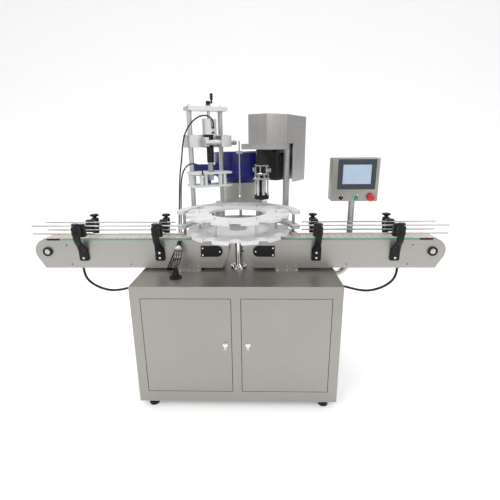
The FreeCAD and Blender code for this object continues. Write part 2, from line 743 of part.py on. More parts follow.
def fence_ring(z0):
    sweep = 180 - 2 * FENCE_START
    middle = (FENCE_INNER + FENCE_OUTER) / 2
    half = (FENCE_OUTER - FENCE_INNER) / 2
    pieces = [ring_sector(FENCE_INNER, FENCE_OUTER, z0, z0 + FENCE_THICK, FENCE_START, sweep)]
    for degrees in (FENCE_START, 180 - FENCE_START):
        a = math.radians(degrees)
        pieces.append(rod(middle * math.cos(a), middle * math.sin(a), z0, z0 + FENCE_THICK, half))
    whole = joined(pieces)
    for degrees in FENCE_POST_ANGLES:
        a = math.radians(degrees)
        x, y = FENCE_POST_CIRCLE * math.cos(a), FENCE_POST_CIRCLE * math.sin(a)
        whole = whole.cut(rod(x, y, z0 - 1, z0 + FENCE_THICK + 1, FENCE_POST_RADIUS))
    return whole


def fence_posts():
    pieces = []
    top = UPPER_DISC[1]
    for degrees in FENCE_POST_ANGLES:
        a = math.radians(degrees)
        x, y = FENCE_POST_CIRCLE * math.cos(a), FENCE_POST_CIRCLE * math.sin(a)
        post = rod(x, y, TOP_HEIGHT + 6, top, FENCE_POST_RADIUS)
        pieces.append(joined([post, rod(x, y, TOP_HEIGHT, TOP_HEIGHT + 6, 17)]))
    return group(pieces)


def slide_plate():
    # fixed plate that the bottles slide on between the two conveyors
    start = 15
    z0 = SLIDE_TOP - SLIDE_THICK
    plate = ring_sector(SLIDE_INNER, FENCE_OUTER, z0, SLIDE_TOP, start, 180 - 2 * start)
    keep_off = box(-400, 400, -10, CONVEYOR_HALF_WIDTH + 3, z0 - 1, SLIDE_TOP + 1)
    plate = plate.cut(keep_off)
    for degrees in FENCE_POST_ANGLES:
        a = math.radians(degrees)
        x, y = FENCE_POST_CIRCLE * math.cos(a), FENCE_POST_CIRCLE * math.sin(a)
        plate = plate.cut(rod(x, y, z0 - 1, SLIDE_TOP + 1, FENCE_POST_RADIUS))
    return plate


# cap placer

def local_box(r0, r1, v0, v1, z0, z1):
    # v counts to the right of the radius, so it is minus local Y
    return box(r0, r1, -v1, -v0, z0, z1)


def placer_frame():
    pieces = []
    plate = local_box(336, 424, -116, 116, PLACER_TOP - PLACER_PLATE_THICK, PLACER_TOP)
    under = PLACER_TOP - PLACER_PLATE_THICK
    plate = plate.cut(rod(SCREW_R, -SCREW_V, under - 1, PLACER_TOP + 1, SCREW_RADIUS + RUN_FIT))
    pieces.append(plate)
    for v in (-PLACER_POST_V, PLACER_POST_V):
        pieces.append(joined([rod(PLACER_POST_R, v, TOP_HEIGHT + 12, under, PLACER_POST_RADIUS),
                              rod(PLACER_POST_R, v, TOP_HEIGHT, TOP_HEIGHT + 12, 30)]))
        pieces.append(joined([rod(PLACER_POST_R, v, PLACER_TOP, PLACER_TOP + 5, 10),
                              rod(PLACER_POST_R, v, PLACER_TOP + 5, PLACER_TOP + 12, 5)]))
    return station(group(pieces), PLACER_ANGLE)


def lead_screw():
    low = CARRIAGE_LOW - CARRIAGE_TRAVEL - 6
    screw = rod(SCREW_R, -SCREW_V, low, PLACER_TOP + 14, SCREW_RADIUS)
    collar = rod(SCREW_R, -SCREW_V, PLACER_TOP + BODY_GAP, PLACER_TOP + 8, 13)
    return station(joined([screw, collar]), PLACER_ANGLE)


def crank_handle():
    x, y = SCREW_R, -SCREW_V
    z = PLACER_TOP + 8
    arm = box(x - 22, x + 44, y - 7, y + 7, z + 8, z + 18)
    arm.rotate(V(x, y, 0), UP, CRANK_TURN)
    a = math.radians(CRANK_TURN)
    gx, gy = x + 36 * math.cos(a), y + 36 * math.sin(a)
    hub = rod(x, y, z, z + 22, 12)
    bore = rod(x, y, z - 1, PLACER_TOP + 14, SCREW_RADIUS)
    grip = joined([rod(gx, gy, z + 18, z + 24, 5), rod(gx, gy, z + 24, z + 58, 9)])
    return station(joined([arm, hub, grip]).cut(bore), PLACER_ANGLE)


def carriage():
    # crossbeam with a clamp block on each post and a nut for the lead screw
    z0, z1 = CARRIAGE_LOW, CARRIAGE_HIGH
    beam = local_box(345, 376, -116, 116, z0, z1)
    pieces = [beam]
    for v in (-PLACER_POST_V, PLACER_POST_V):
        pieces.append(local_box(370, 424, v - 32, v + 32, z0, z1))
    bar_clamp = local_box(BAR_R - 26, 345, 46, 106, z0 + 2, z1 - 4)
    collar_block = local_box(BAR_R, 345, -46, -20, z0 + 6, z1 - 14)
    whole = joined([*pieces, bar_clamp, collar_block])
    for v in (-PLACER_POST_V, PLACER_POST_V):
        whole = whole.cut(rod(PLACER_POST_R, v, z0 - 1, z1 + 1, PLACER_POST_RADIUS + RUN_FIT))
    whole = whole.cut(rod(SCREW_R, -SCREW_V, z0 - 1, z1 + 1, SCREW_RADIUS + RUN_FIT))
    cross = Part.makeCylinder(BAR_RADIUS, BAR_LENGTH, V(BAR_R, 44, BAR_Z), V(0, -1, 0))
    whole = whole.cut(cross)
    whole = whole.cut(rod(CYLINDER_R, -CYLINDER_V, z0 - 1, z1 + 1, BARREL_RADIUS))
    whole = group(whole.Solids)
    return station(whole, PLACER_ANGLE)


def placer_cylinder():
    # ported air cylinder on the beam, its sleeve below it and the round cross bar
    r, y = CYLINDER_R, -CYLINDER_V
    body = box(r - 20, r + 22, y - 36, y + 36, CARRIAGE_HIGH, CARRIAGE_HIGH + BODY_HEIGHT)
    sleeve = rod(r, y, CARRIAGE_LOW - SLEEVE_LENGTH, CARRIAGE_HIGH, BARREL_RADIUS)
    bore_top = CARRIAGE_HIGH + BODY_HEIGHT - 12
    bore = rod(r, y, CARRIAGE_LOW - SLEEVE_LENGTH - 1, bore_top, ROD_RADIUS + RUN_FIT)
    cylinder = joined([body, sleeve]).cut(bore)
    fittings = [elbow(r - 20, PORT_Y, CARRIAGE_HIGH + height) for height in PORT_HEIGHTS]
    cross = Part.makeCylinder(BAR_RADIUS, BAR_LENGTH, V(BAR_R, 44, BAR_Z), V(0, -1, 0))
    cross = cross.cut(rod(r, y, BAR_Z - 30, BAR_Z + 30, BARREL_RADIUS))
    return station(group([cylinder, *fittings, *cross.Solids]), PLACER_ANGLE)


def elbow(face, y, z):
    # push-in hose fitting: a short stub out of the face and a mouth that points up
    stub = Part.makeCylinder(ELBOW_RADIUS, ELBOW_REACH, V(face, y, z), V(-1, 0, 0))
    ball = Part.makeSphere(ELBOW_RADIUS, V(face - ELBOW_REACH, y, z))
    mouth = rod(face - ELBOW_REACH, y, z, z + ELBOW_RISE, ELBOW_RADIUS - 1)
    return joined([stub, ball, mouth])


def placing_rod():
    # piston rod with its piston inside the cylinder and the cap pusher at its end
    r, y = CYLINDER_R, -CYLINDER_V
    top = CARRIAGE_HIGH + BODY_HEIGHT - 22
    shank = rod(r, y, PUSHER_TOP, top, ROD_RADIUS)
    pusher = rod(r, y, PUSHER_TOP - PUSHER_HEIGHT, PUSHER_TOP, ROD_RADIUS - 2)
    return station(joined([shank, pusher]), PLACER_ANGLE)


def cap_guide():
    # two plates clamped on the posts; caps are held between them under the pusher
    pieces = []
    for z0 in (GUIDE_LOW, GUIDE_HIGH - GUIDE_THICK):
        plate = local_box(296, GUIDE_BACK_R, -118, 116, z0, z0 + GUIDE_THICK)
        for v in (-PLACER_POST_V, PLACER_POST_V):
            plate = plate.cut(rod(PLACER_POST_R, v, z0 - 1, z0 + GUIDE_THICK + 1, PLACER_POST_RADIUS))
        plate = plate.cut(rod(CYLINDER_R, -CYLINDER_V, z0 - 1, z0 + GUIDE_THICK + 1, ROD_RADIUS + 1))
        pieces.append(plate)
    low = GUIDE_LOW + GUIDE_THICK
    high = GUIDE_HIGH - GUIDE_THICK
    for v in (-PLACER_POST_V, PLACER_POST_V):
        pieces.append(tube(PLACER_POST_R, v, low, high, 22, PLACER_POST_RADIUS))
    for v in GUIDE_BLOCKS:
        pieces.append(local_box(GUIDE_BLOCK_R, 322, v - 7, v + 7, low, high))
    pieces.append(elbow(GUIDE_BLOCK_R, -GUIDE_PORT_V, GUIDE_PORT_Z))
    return station(group(pieces), PLACER_ANGLE)


# capping head

def head_stand():
    pieces = []
    plate = local_box(212, 440, -108, 108, HEAD_PLATE_LOW, HEAD_PLATE_HIGH)
    plate = plate.cut(rod(PITCH_RADIUS, 0, HEAD_PLATE_LOW - 1, HEAD_PLATE_HIGH + 1, QUILL_RADIUS + RUN_FIT))
    plate = plate.cut(rod(HEAD_MOTOR_R, 0, HEAD_PLATE_LOW - 1, HEAD_PLATE_HIGH + 1, 16))
    pieces.append(plate)
    for v in (-COLUMN_V, COLUMN_V):
        pieces.append(joined([rod(COLUMN_R, v, TOP_HEIGHT + 14, HEAD_PLATE_LOW, HEAD_COLUMN_RADIUS),
                              rod(COLUMN_R, v, TOP_HEIGHT, TOP_HEIGHT + 14, 36)]))
    stand = station(group(pieces), HEAD_ANGLE)
    # cap sensor hung on a thin arm from the left column, over the rear pocket
    column = place(HEAD_ANGLE, COLUMN_R, -COLUMN_V, SENSOR_ARM_Z)
    rod_x, rod_y = 0.0, PITCH_RADIUS
    collar = tube(column.x, column.y, SENSOR_ARM_Z - 10, SENSOR_ARM_Z + 10, 27, HEAD_COLUMN_RADIUS)
    hung = V(rod_x, rod_y, SENSOR_ARM_Z)
    way = hung.sub(column)
    way.normalize()
    start = column.add(V(way).multiply(HEAD_COLUMN_RADIUS + 4))
    arm = bar(start, hung, 4)
    block = box(rod_x - 17, rod_x + 17, rod_y - 9, rod_y + 9, SENSOR_ARM_Z - 8, SENSOR_ARM_Z + 8)
    hanger = rod(rod_x, rod_y, SENSOR_LOW + 42, SENSOR_ARM_Z + 62, 4)
    nozzle = joined([rod(rod_x, rod_y, SENSOR_LOW + 10, SENSOR_LOW + 42, 5.5),
                     Part.makeCone(9, 5.5, 10, V(rod_x, rod_y, SENSOR_LOW), UP)])
    sensor = joined([collar, arm, block, hanger, nozzle])
    return group([*stand.Solids, sensor])


def cover_outline(grow, z):
    r0 = COVER_FRONT_R - grow
    w0 = COVER_FRONT_HALF + grow * 0.7
    w1 = COVER_HALF + grow
    r1 = COVER_WIDE_R - grow * 0.3
    r2 = COVER_BACK_R + grow
    return [V(r0, -w0, z), V(r0, w0, z), V(r1, w1, z), V(r2, w1, z), V(r2, -w1, z), V(r1, -w1, z)]


def head_cover():
    # folded sheet hood: narrow nose over the spindle, deep skirt behind the columns
    t = COVER_SHEET
    outer = prism(cover_outline(0, HEAD_PLATE_HIGH), V(0, 0, COVER_TOP - HEAD_PLATE_HIGH))
    inner = prism(cover_outline(-t, HEAD_PLATE_HIGH - 1), V(0, 0, COVER_TOP - HEAD_PLATE_HIGH + 1 - t))
    hood = outer.cut(inner)
    skirt = local_box(SKIRT_R, COVER_BACK_R, -COVER_HALF, COVER_HALF, SKIRT_BOTTOM, HEAD_PLATE_HIGH)
    hollow = local_box(SKIRT_R - 1, COVER_BACK_R - t, -COVER_HALF + t, COVER_HALF - t,
                       SKIRT_BOTTOM - 1, HEAD_PLATE_HIGH + 1)
    return station(joined([hood, skirt.cut(hollow)]), HEAD_ANGLE)


def head_motor():
    r = HEAD_MOTOR_R
    case = box(r - 44, r + 44, -44, 44, HEAD_MOTOR_LOW, HEAD_PLATE_LOW)
    shaft = rod(r, 0, HEAD_PLATE_LOW, HEAD_PLATE_HIGH + 40, 9)
    return station(joined([case, shaft]), HEAD_ANGLE)


def spindle():
    # quill that slides in the head plate, with the clutch housing below it
    r = PITCH_RADIUS
    tall = rod(r, 0, CLUTCH_TOP, HEAD_PLATE_HIGH + 70, QUILL_RADIUS)
    clutch = rod(r, 0, CHUCK_TOP + BODY_GAP, CLUTCH_TOP, CLUTCH_RADIUS)
    bore = rod(r, 0, CHUCK_TOP - 1, HEAD_PLATE_HIGH + 71, DRIVE_SHAFT_RADIUS + RUN_FIT)
    return station(joined([tall, clutch]).cut(bore), HEAD_ANGLE)


def chuck():
    # turning part: drive shaft, round body with two side arms, cage posts and lower ring
    r = PITCH_RADIUS
    shaft = rod(r, 0, CHUCK_TOP, HEAD_PLATE_HIGH + 64, DRIVE_SHAFT_RADIUS)
    upper = rod(r, 0, CHUCK_TOP - 52, CHUCK_TOP, 42)
    lower = rod(r, 0, CHUCK_TOP - 82, CHUCK_TOP - 52, 48)
    arms = box(r - 9, r + 9, -58, 58, CHUCK_TOP - 36, CHUCK_TOP - 20)
    pieces = [shaft, upper, lower, arms]
    ring = tube(r, 0, CHUCK_BOTTOM, CHUCK_BOTTOM + 26, 42, 24)
    for index in range(4):
        a = math.radians(45 + 90 * index)
        pieces.append(rod(r + 35 * math.cos(a), 35 * math.sin(a), CHUCK_BOTTOM + 20, CHUCK_TOP - 80, 5))
    return station(group([joined([*pieces, ring]), *[chuck_jaw(index) for index in range(3)]]), HEAD_ANGLE)


def chuck_jaw(index):
    # a rubber-faced jaw that grips the cap, hung in the cage
    r = PITCH_RADIUS
    jaw = box(13, 21, -8, 8, CHUCK_BOTTOM + 2, CHUCK_TOP - 82)
    jaw.rotate(V(0, 0, 0), UP, 120 * index)
    jaw.translate(V(r, 0, 0))
    return jaw


# bowl feeder

def feeder_bowl():
    # stepped bowl: wide upper band, narrower lower band, tapered foot
    x, y = BOWL_X, BOWL_Y
    step = BOWL_BOTTOM + 116
    outer = joined([rod(x, y, step, BOWL_TOP, BOWL_RADIUS),
                    rod(x, y, BOWL_BOTTOM + 40, step, BOWL_RADIUS - 3),
                    Part.makeCone(BOWL_RADIUS - 50, BOWL_RADIUS - 3, 40, V(x, y, BOWL_BOTTOM), UP)])
    hollow = rod(x, y, BOWL_BOTTOM + 48, BOWL_TOP + 1, BOWL_RADIUS - 3 - BOWL_WALL)
    bowl = outer.cut(hollow)
    track = tube(x, y, step - 6, step, BOWL_RADIUS - 3 - BOWL_WALL, BOWL_RADIUS - 40)
    return joined([bowl, track])


def feeder_base():
    x, y = BOWL_X, BOWL_Y
    drive = rod(x, y, STAND_TOP, BOWL_BOTTOM - 16, DRIVE_RADIUS)
    head = rod(x, y, BOWL_BOTTOM - 16, BOWL_BOTTOM - BODY_GAP, DRIVE_RADIUS + 8)
    pieces = [joined([drive, head])]
    plate = box(x - 175, x + 175, y - 170, y + 40, STAND_TOP - 14, STAND_TOP)
    pieces.append(plate)
    for dx in (-155, 155):
        for dy in (-146, 10):
            pieces.append(joined([rod(x + dx, y + dy, TOP_HEIGHT, TOP_HEIGHT + 8, 28),
                                  rod(x + dx, y + dy, TOP_HEIGHT + 8, STAND_TOP - 14, 17)]))
    return group(pieces)


def trough(x0, x1, y0, y1, z0, z1):
    # open box with a floor and four walls
    t = CHUTE_SHEET
    return box(x0, x1, y0, y1, z0, z1).cut(box(x0 + t, x1 - t, y0 + t, y1 - t, z0 + t, z1 + 1))


def cap_chute():
    # outlet trough hugging the bowl and a spout that slopes down between the guide plates
    t = CHUTE_SHEET
    half = SPOUT_WIDTH / 2
    hopper = trough(CHUTE_LEFT, CHUTE_RIGHT, CHUTE_FRONT, CHUTE_BACK, CHUTE_BOTTOM, CHUTE_TOP)
    hopper = hopper.cut(rod(BOWL_X, BOWL_Y, CHUTE_BOTTOM - 1, CHUTE_TOP + 1, BOWL_RADIUS + CHUTE_GAP))
    mouth = place(PLACER_ANGLE, GUIDE_BACK_R - SPOUT_REACH, 0, GUIDE_LOW + GUIDE_THICK)
    fall = V(mouth.x - SPOUT_X, mouth.y - CHUTE_FRONT - t, mouth.z - CHUTE_BOTTOM)
    opening = box(SPOUT_X - half + t, SPOUT_X + half - t, CHUTE_FRONT - 1, CHUTE_FRONT + t + 1,
                  CHUTE_BOTTOM + t, CHUTE_BOTTOM + SPOUT_HEIGHT)
    hopper = hopper.cut(opening)
    y, z = CHUTE_FRONT + t, CHUTE_BOTTOM
    pieces = [hopper]
    for x0, x1, top in ((-half, half, t), (-half, t - half, SPOUT_HEIGHT), (half - t, half, SPOUT_HEIGHT)):
        left, right = SPOUT_X + x0, SPOUT_X + x1
        outline = [V(left, y, z), V(right, y, z), V(right, y, z + top), V(left, y, z + top)]
        pieces.append(prism(outline, fall))
    return joined(pieces)


# operator box

box_left = BOX_X - BOX_WIDTH / 2
box_right = BOX_X + BOX_WIDTH / 2
box_top = BOX_BOTTOM + BOX_HEIGHT
post_y = BOX_FRONT + BOX_DEPTH / 2
switch_x = box_left + 50
start_x = BOX_X + 8
stop_x = box_right - 38
control_z = BOX_BOTTOM + 20


def hmi_post():
    # tube from the cabinet's side, bent up behind the right conveyor to the box
    bend = BOX_POST_BEND
    z = BOX_POST_LOW
    start = V(BOX_X - bend, post_y, z)
    end = V(BOX_X, post_y, z + bend)
    part_way = math.sin(math.pi / 4)
    middle = V(BOX_X - bend + bend * part_way, post_y, z + bend * (1 - part_way))
    path = Part.Wire([
        Part.LineSegment(V(half_width, post_y, z), start).toShape(),
        Part.Arc(start, middle, end).toShape(),
        Part.LineSegment(end, V(BOX_X, post_y, BOX_BOTTOM)).toShape(),
    ])
    solids = []
    for radius in (BOX_POST_RADIUS, BOX_POST_RADIUS - 2.5):
        section = Part.Wire(Part.makeCircle(radius, V(half_width, post_y, z), V(1, 0, 0)))
        solids.append(path.makePipeShell([section], True, True))
    pipe = solids[0].cut(solids[1])
    flange = Part.makeCylinder(32, 6, V(half_width, post_y, z), V(1, 0, 0))
    flange = flange.cut(Part.makeCylinder(BOX_POST_RADIUS - 1, 8, V(half_width - 1, post_y, z), V(1, 0, 0)))
    return joined([pipe, flange])


def hmi_box():
    y0 = BOX_FRONT
    case = box(box_left, box_right, y0, y0 + BOX_DEPTH, BOX_BOTTOM, box_top)
    hollow = box(box_left + 2, box_right - 2, y0 + 2, y0 + BOX_DEPTH - 2, BOX_BOTTOM + 2, box_top - 2)
    case = case.cut(hollow)
    for x in (switch_x, start_x, stop_x):
        case = case.cut(Part.makeCylinder(9 + RUN_FIT, 4, V(x, y0 - 1, control_z), V(0, 1, 0)))
    bezel = box(box_left + 30, box_right - 18, y0 - 6, y0, BOX_BOTTOM + 62, BOX_BOTTOM + 214)
    recess = box(box_left + 57, box_right - 45, y0 - 7, y0 - 3, BOX_BOTTOM + 92, BOX_BOTTOM + 172)
    screen = box(box_left + 57, box_right - 45, y0 - 5, y0 - 3, BOX_BOTTOM + 92, BOX_BOTTOM + 172)
    return group([case, bezel.cut(recess), screen])


def control(x, radius, proud, handle):
    y0 = BOX_FRONT
    shank = Part.makeCylinder(9, 24 + proud, V(x, y0 - proud, control_z), V(0, 1, 0))
    head = Part.makeCylinder(radius, 9, V(x, y0 - proud - 8, control_z), V(0, 1, 0))
    pieces = [shank, head]
    if handle:
        pieces.append(box(x - 4, x + 4, y0 - proud - 17, y0 - proud - 7,
                          control_z - radius + 1, control_z + radius - 1))
    return joined(pieces)


# cables and hoses

def side_cable(side):
    # hangs from the conveyor's underside and goes back into the cabinet's side
    low = PLATE_BOTTOM - GLAND_LENGTH
    end = half_width + GLAND_LENGTH
    points = [
        V(CABLE_X, 0, low),
        V(CABLE_X, 0, 622),
        V(820, -3, 579),
        V(768, -6, 547),
        V(707, -10, 532),
        V(652, -14, 537),
        V(600, -17, 551),
        V(556, CABLE_Y, CABLE_Z),
        V(end, CABLE_Y, CABLE_Z),
    ]
    if side < 0:
        points = [V(-p.x, p.y, p.z) for p in points]
    name = "left cable" if side < 0 else "right cable"
    return cord(points, CABLE_RADIUS, name)


def cable_glands():
    # glands of the two side cables, of the two air hoses and of the sensor lead
    pieces = []
    for side in (-1, 1):
        down = V(side * CABLE_X, 0, PLATE_BOTTOM)
        pieces.append(Part.makeCylinder(GLAND_RADIUS, GLAND_LENGTH, down, V(0, 0, -1)))
        across = V(side * half_width, CABLE_Y, CABLE_Z)
        pieces.append(Part.makeCylinder(GLAND_RADIUS, GLAND_LENGTH, across, V(side, 0, 0)))
    twin = box(SECOND_FOOT[0] - 22, SECOND_FOOT[0] + 11, HOSE_FOOT[1] - 12, HOSE_FOOT[1] + 12,
               TOP_HEIGHT, TOP_HEIGHT + GLAND_LENGTH)
    pieces.append(twin)
    x, y = SENSOR_FOOT
    flange = rod(x, y, TOP_HEIGHT, TOP_HEIGHT + 6, 31)
    dome = Part.makeCone(19, 14, 32, V(x, y, TOP_HEIGHT + 6), UP)
    pieces.append(joined([flange, dome]))
    pieces.append(lead_coupler())
    pieces.append(box(-384, -349, CLIP_FRONT, CLIP_FRONT + 20, TOP_HEIGHT, TOP_HEIGHT + 10))
    return group(pieces)


def upper_hose():
    # from the cylinder's upper port in an arch and down beside the frame
    mouth = CARRIAGE_HIGH + PORT_HEIGHTS[1] + ELBOW_RISE
    start = place(PLACER_ANGLE, CYLINDER_R - 20 - ELBOW_REACH, -PORT_Y, mouth)
    x, y = HOSE_FOOT
    points = [
        start,
        start.add(V(0, 0, 24)),
        start.add(V(-12, 0, 45)),
        start.add(V(-33, 0, 57)),
        start.add(V(-59, 0, 59)),
        start.add(V(-90, 0, 48)),
        start.add(V(-122, 0, 24)),
        start.add(V(-148, 0, -10)),
        start.add(V(-168, 0, -54)),
        start.add(V(-179, 0, -108)),
        start.add(V(-187, 0, -170)),
        V(-341, y - 8, 1140),
        V(-350, y - 5, 1050),
        V(-358, y - 2, 950),
        V(-367, y, 840),
        V(x, y, 750),
        V(x, y, TOP_HEIGHT + GLAND_LENGTH),
    ]
    return cord(points, HOSE_RADIUS, "upper hose")


def lower_hose():
    # from the cap guide's fitting in a smaller arch, then down beside the first hose
    start = place(PLACER_ANGLE, GUIDE_BLOCK_R - ELBOW_REACH, GUIDE_PORT_V, GUIDE_PORT_Z + ELBOW_RISE)
    x, y = SECOND_FOOT
    points = [
        start,
        start.add(V(0, 0, 22)),
        start.add(V(-13, 2, 47)),
        start.add(V(-34, 7, 62)),
        start.add(V(-60, 13, 66)),
        start.add(V(-87, 20, 57)),
        start.add(V(-108, 27, 35)),
        start.add(V(-124, 34, 3)),
        start.add(V(-134, 40, -42)),
        V(-343, y - 5, 1020),
        V(-349, y - 2, 930),
        V(-356, y, 830),
        V(x, y, 740),
        V(x, y, TOP_HEIGHT + GLAND_LENGTH),
    ]
    return cord(points, HOSE_RADIUS, "lower hose")


def lead_coupler():
    # three plugs side by side under a white cone, leaning on the left conveyor's plate
    pieces = []
    for dx in LEAD_SPREAD:
        pieces.append(Part.makeCylinder(6, COUPLER_LENGTH, COUPLER_FOOT.add(V(dx, 0, 0)), COUPLER_AXIS))
    top = COUPLER_FOOT.add(V(COUPLER_AXIS).multiply(COUPLER_LENGTH))
    pieces.append(Part.makeCone(18, 4, COUPLER_CONE, top, COUPLER_AXIS))
    return joined(pieces)


def front_leads():
    # three leads from the front gland to the coupler, one on to the plate, two beside it
    pieces = []
    gx, gy = SENSOR_FOOT
    gland_top = TOP_HEIGHT + 38
    for dx in LEAD_SPREAD:
        foot = COUPLER_FOOT.add(V(dx, 0, 0))
        points = [
            V(gx + dx / 2, gy, gland_top),
            V(gx + dx / 2, gy, gland_top + 16),
            foot.sub(V(COUPLER_AXIS).multiply(14)),
            foot,
        ]
        pieces.append(cord(points, LEAD_RADIUS, "gland lead"))
    tip = COUPLER_FOOT.add(V(COUPLER_AXIS).multiply(COUPLER_LENGTH + COUPLER_CONE))
    plate_y = -CONVEYOR_HALF_WIDTH
    points = [
        tip,
        tip.add(V(COUPLER_AXIS).multiply(5)),
        V(tip.x, plate_y - 7, 823),
        V(tip.x, plate_y, 823),
    ]
    pieces.append(cord(points, LEAD_RADIUS, "plate lead"))
    for shift in (0.0, 13.0):
        y = plate_y - SIDE_LEAD_RADIUS - 1.5
        points = [
            V(-303 + shift, plate_y, 824),
            V(-303 + shift, plate_y - 10, 824),
            V(-309 + shift, y - 4, 806),
            V(-325 + shift, y - 3, 772),
            V(-343 + shift, y - 3, 734),
            V(-360 + shift, y - 3, 700),
            V(-368 + shift, y - 3, 678),
            V(-372 + shift, plate_y + 3, TOP_HEIGHT + SIDE_LEAD_RADIUS + 1),
            V(-373 + shift, plate_y + 15, TOP_HEIGHT + SIDE_LEAD_RADIUS + 1),
            V(-373 + shift, CLIP_FRONT, TOP_HEIGHT + SIDE_LEAD_RADIUS + 1),
        ]
        pieces.append(cord(points, SIDE_LEAD_RADIUS, "side lead"))
    return group(pieces)


def build():
    os.makedirs("parts", exist_ok=True)
    save("cabinet_shell", cabinet_shell())
    save("levelling_feet", feet())
    save("electrics_plate", electrics())
    save("gearmotors", gearmotors())
    for name, side in (("left", -1), ("right", 1)):
        save(name + "_door", door(side))
        save(name + "_door_latch", latch(side))
        save(name + "_conveyor_frame", conveyor_frame(side))
        w = CONVEYOR_HALF_WIDTH
        save(name + "_outer_shaft", sprocket_shaft(outer_shaft_x, side, -w - BEARING_DEPTH, w + 34))
        save(name + "_inner_shaft", sprocket_shaft(inner_shaft_x, side, -w, w))
        save(name + "_front_rail", rail(side, -1, FRONT_RAIL_ENDS))
        save(name + "_rear_rail", rail(side, 1, REAR_RAIL_ENDS))
        save(name + "_side_cable", side_cable(side))
        for label, x in zip(("inner", "outer"), STATIONS):
            save(name + "_" + label + "_knob", knob(side * x))
    save("slat_chains", group([chain(-1), chain(1)]))
    save("wear_strips", wear_strips())
    save("conveyor_covers", conveyor_covers())
    save("rail_arms", rail_arms())
    save("star_shaft", star_shaft())
    save("shaft_bearing", shaft_bearing())
    save("lower_star_disc", lower_disc())
    save("upper_star_disc", star_disc(*UPPER_DISC, DISC_HOLE))
    save("star_standoffs", standoffs())
    save("guide_fence", group([fence_ring(UPPER_DISC[1] - FENCE_THICK), fence_ring(LOWER_DISC[1] - 10)]))
    save("fence_posts", fence_posts())
    save("slide_plate", slide_plate())
    save("placer_frame", placer_frame())
    save("lead_screw", lead_screw())
    save("crank_handle", crank_handle())
    save("placer_carriage", carriage())
    save("placer_cylinder", placer_cylinder())
    save("placing_rod", placing_rod())
    save("cap_guide", cap_guide())
    save("head_stand", head_stand())
    save("head_cover", head_cover())
    save("head_motor", head_motor())
    save("spindle", spindle())
    save("chuck", chuck())
    save("feeder_bowl", feeder_bowl())
    save("feeder_base", feeder_base())
    save("cap_chute", cap_chute())
    save("hmi_post", hmi_post())
    save("hmi_box", hmi_box())
    save("mode_switch", control(switch_x, 11, 2, True))
    save("start_button", control(start_x, 13, 6, False))
    save("stop_button", control(stop_x, 20, 12, False))
    save("cable_glands", cable_glands())
    save("upper_air_hose", upper_hose())
    save("lower_air_hose", lower_hose())
    save("front_leads", front_leads())


build()
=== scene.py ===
import json
import math
import bpy
import numpy as np
from mathutils import Matrix, Vector


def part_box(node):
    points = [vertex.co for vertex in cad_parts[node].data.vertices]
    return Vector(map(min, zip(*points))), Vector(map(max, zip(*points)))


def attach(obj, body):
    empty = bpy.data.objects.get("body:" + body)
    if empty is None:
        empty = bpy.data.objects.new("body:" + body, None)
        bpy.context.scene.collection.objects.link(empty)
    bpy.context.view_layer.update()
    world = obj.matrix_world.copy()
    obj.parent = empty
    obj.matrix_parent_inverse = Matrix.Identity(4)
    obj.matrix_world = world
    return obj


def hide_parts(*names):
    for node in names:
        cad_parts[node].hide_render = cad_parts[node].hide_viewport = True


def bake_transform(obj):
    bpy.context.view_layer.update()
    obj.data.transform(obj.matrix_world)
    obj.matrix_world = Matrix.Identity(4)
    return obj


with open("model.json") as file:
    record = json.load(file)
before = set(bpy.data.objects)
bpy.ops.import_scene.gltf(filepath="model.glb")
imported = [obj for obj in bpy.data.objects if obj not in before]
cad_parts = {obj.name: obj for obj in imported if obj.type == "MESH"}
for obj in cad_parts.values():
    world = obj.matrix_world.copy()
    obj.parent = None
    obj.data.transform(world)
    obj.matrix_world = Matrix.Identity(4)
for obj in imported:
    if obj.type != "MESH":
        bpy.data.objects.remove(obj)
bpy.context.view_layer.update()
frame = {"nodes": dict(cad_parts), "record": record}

nodes = frame["nodes"]

# ways for the mesh code: across, along and up
acrossWay = Vector((1, 0, 0))
alongWay = Vector((0, 1, 0))
upWay = Vector((0, 0, 1))


# shared effects: node groups that the finishes place with their own values

def newGroup(name, inputs, outputs):
    group = bpy.data.node_groups.new(name, "ShaderNodeTree")
    for label, kind, value in inputs:
        socket = group.interface.new_socket(label, in_out="INPUT", socket_type=kind)
        if value is not None:
            socket.default_value = value
    for label, kind in outputs:
        group.interface.new_socket(label, in_out="OUTPUT", socket_type=kind)
    entry = group.nodes.new("NodeGroupInput")
    leave = group.nodes.new("NodeGroupOutput")
    return group, entry, leave


def addNode(tree, kind, **values):
    node = tree.nodes.new(kind)
    for key, value in values.items():
        setattr(node, key, value)
    return node


def mathNode(tree, operation, first, second=None, third=None, clamp=False):
    node = addNode(tree, "ShaderNodeMath", operation=operation, use_clamp=clamp)
    for index, value in enumerate((first, second, third)):
        if value is None:
            continue
        if isinstance(value, (int, float)):
            node.inputs[index].default_value = value
        else:
            tree.links.new(value, node.inputs[index])
    return node.outputs[0]


def noiseNode(tree, vector, scale, detail=3.0, rough=0.55):
    node = addNode(tree, "ShaderNodeTexNoise")
    node.inputs["Scale"].default_value = scale
    node.inputs["Detail"].default_value = detail
    node.inputs["Roughness"].default_value = rough
    tree.links.new(vector, node.inputs["Vector"])
    return node.outputs["Fac"]


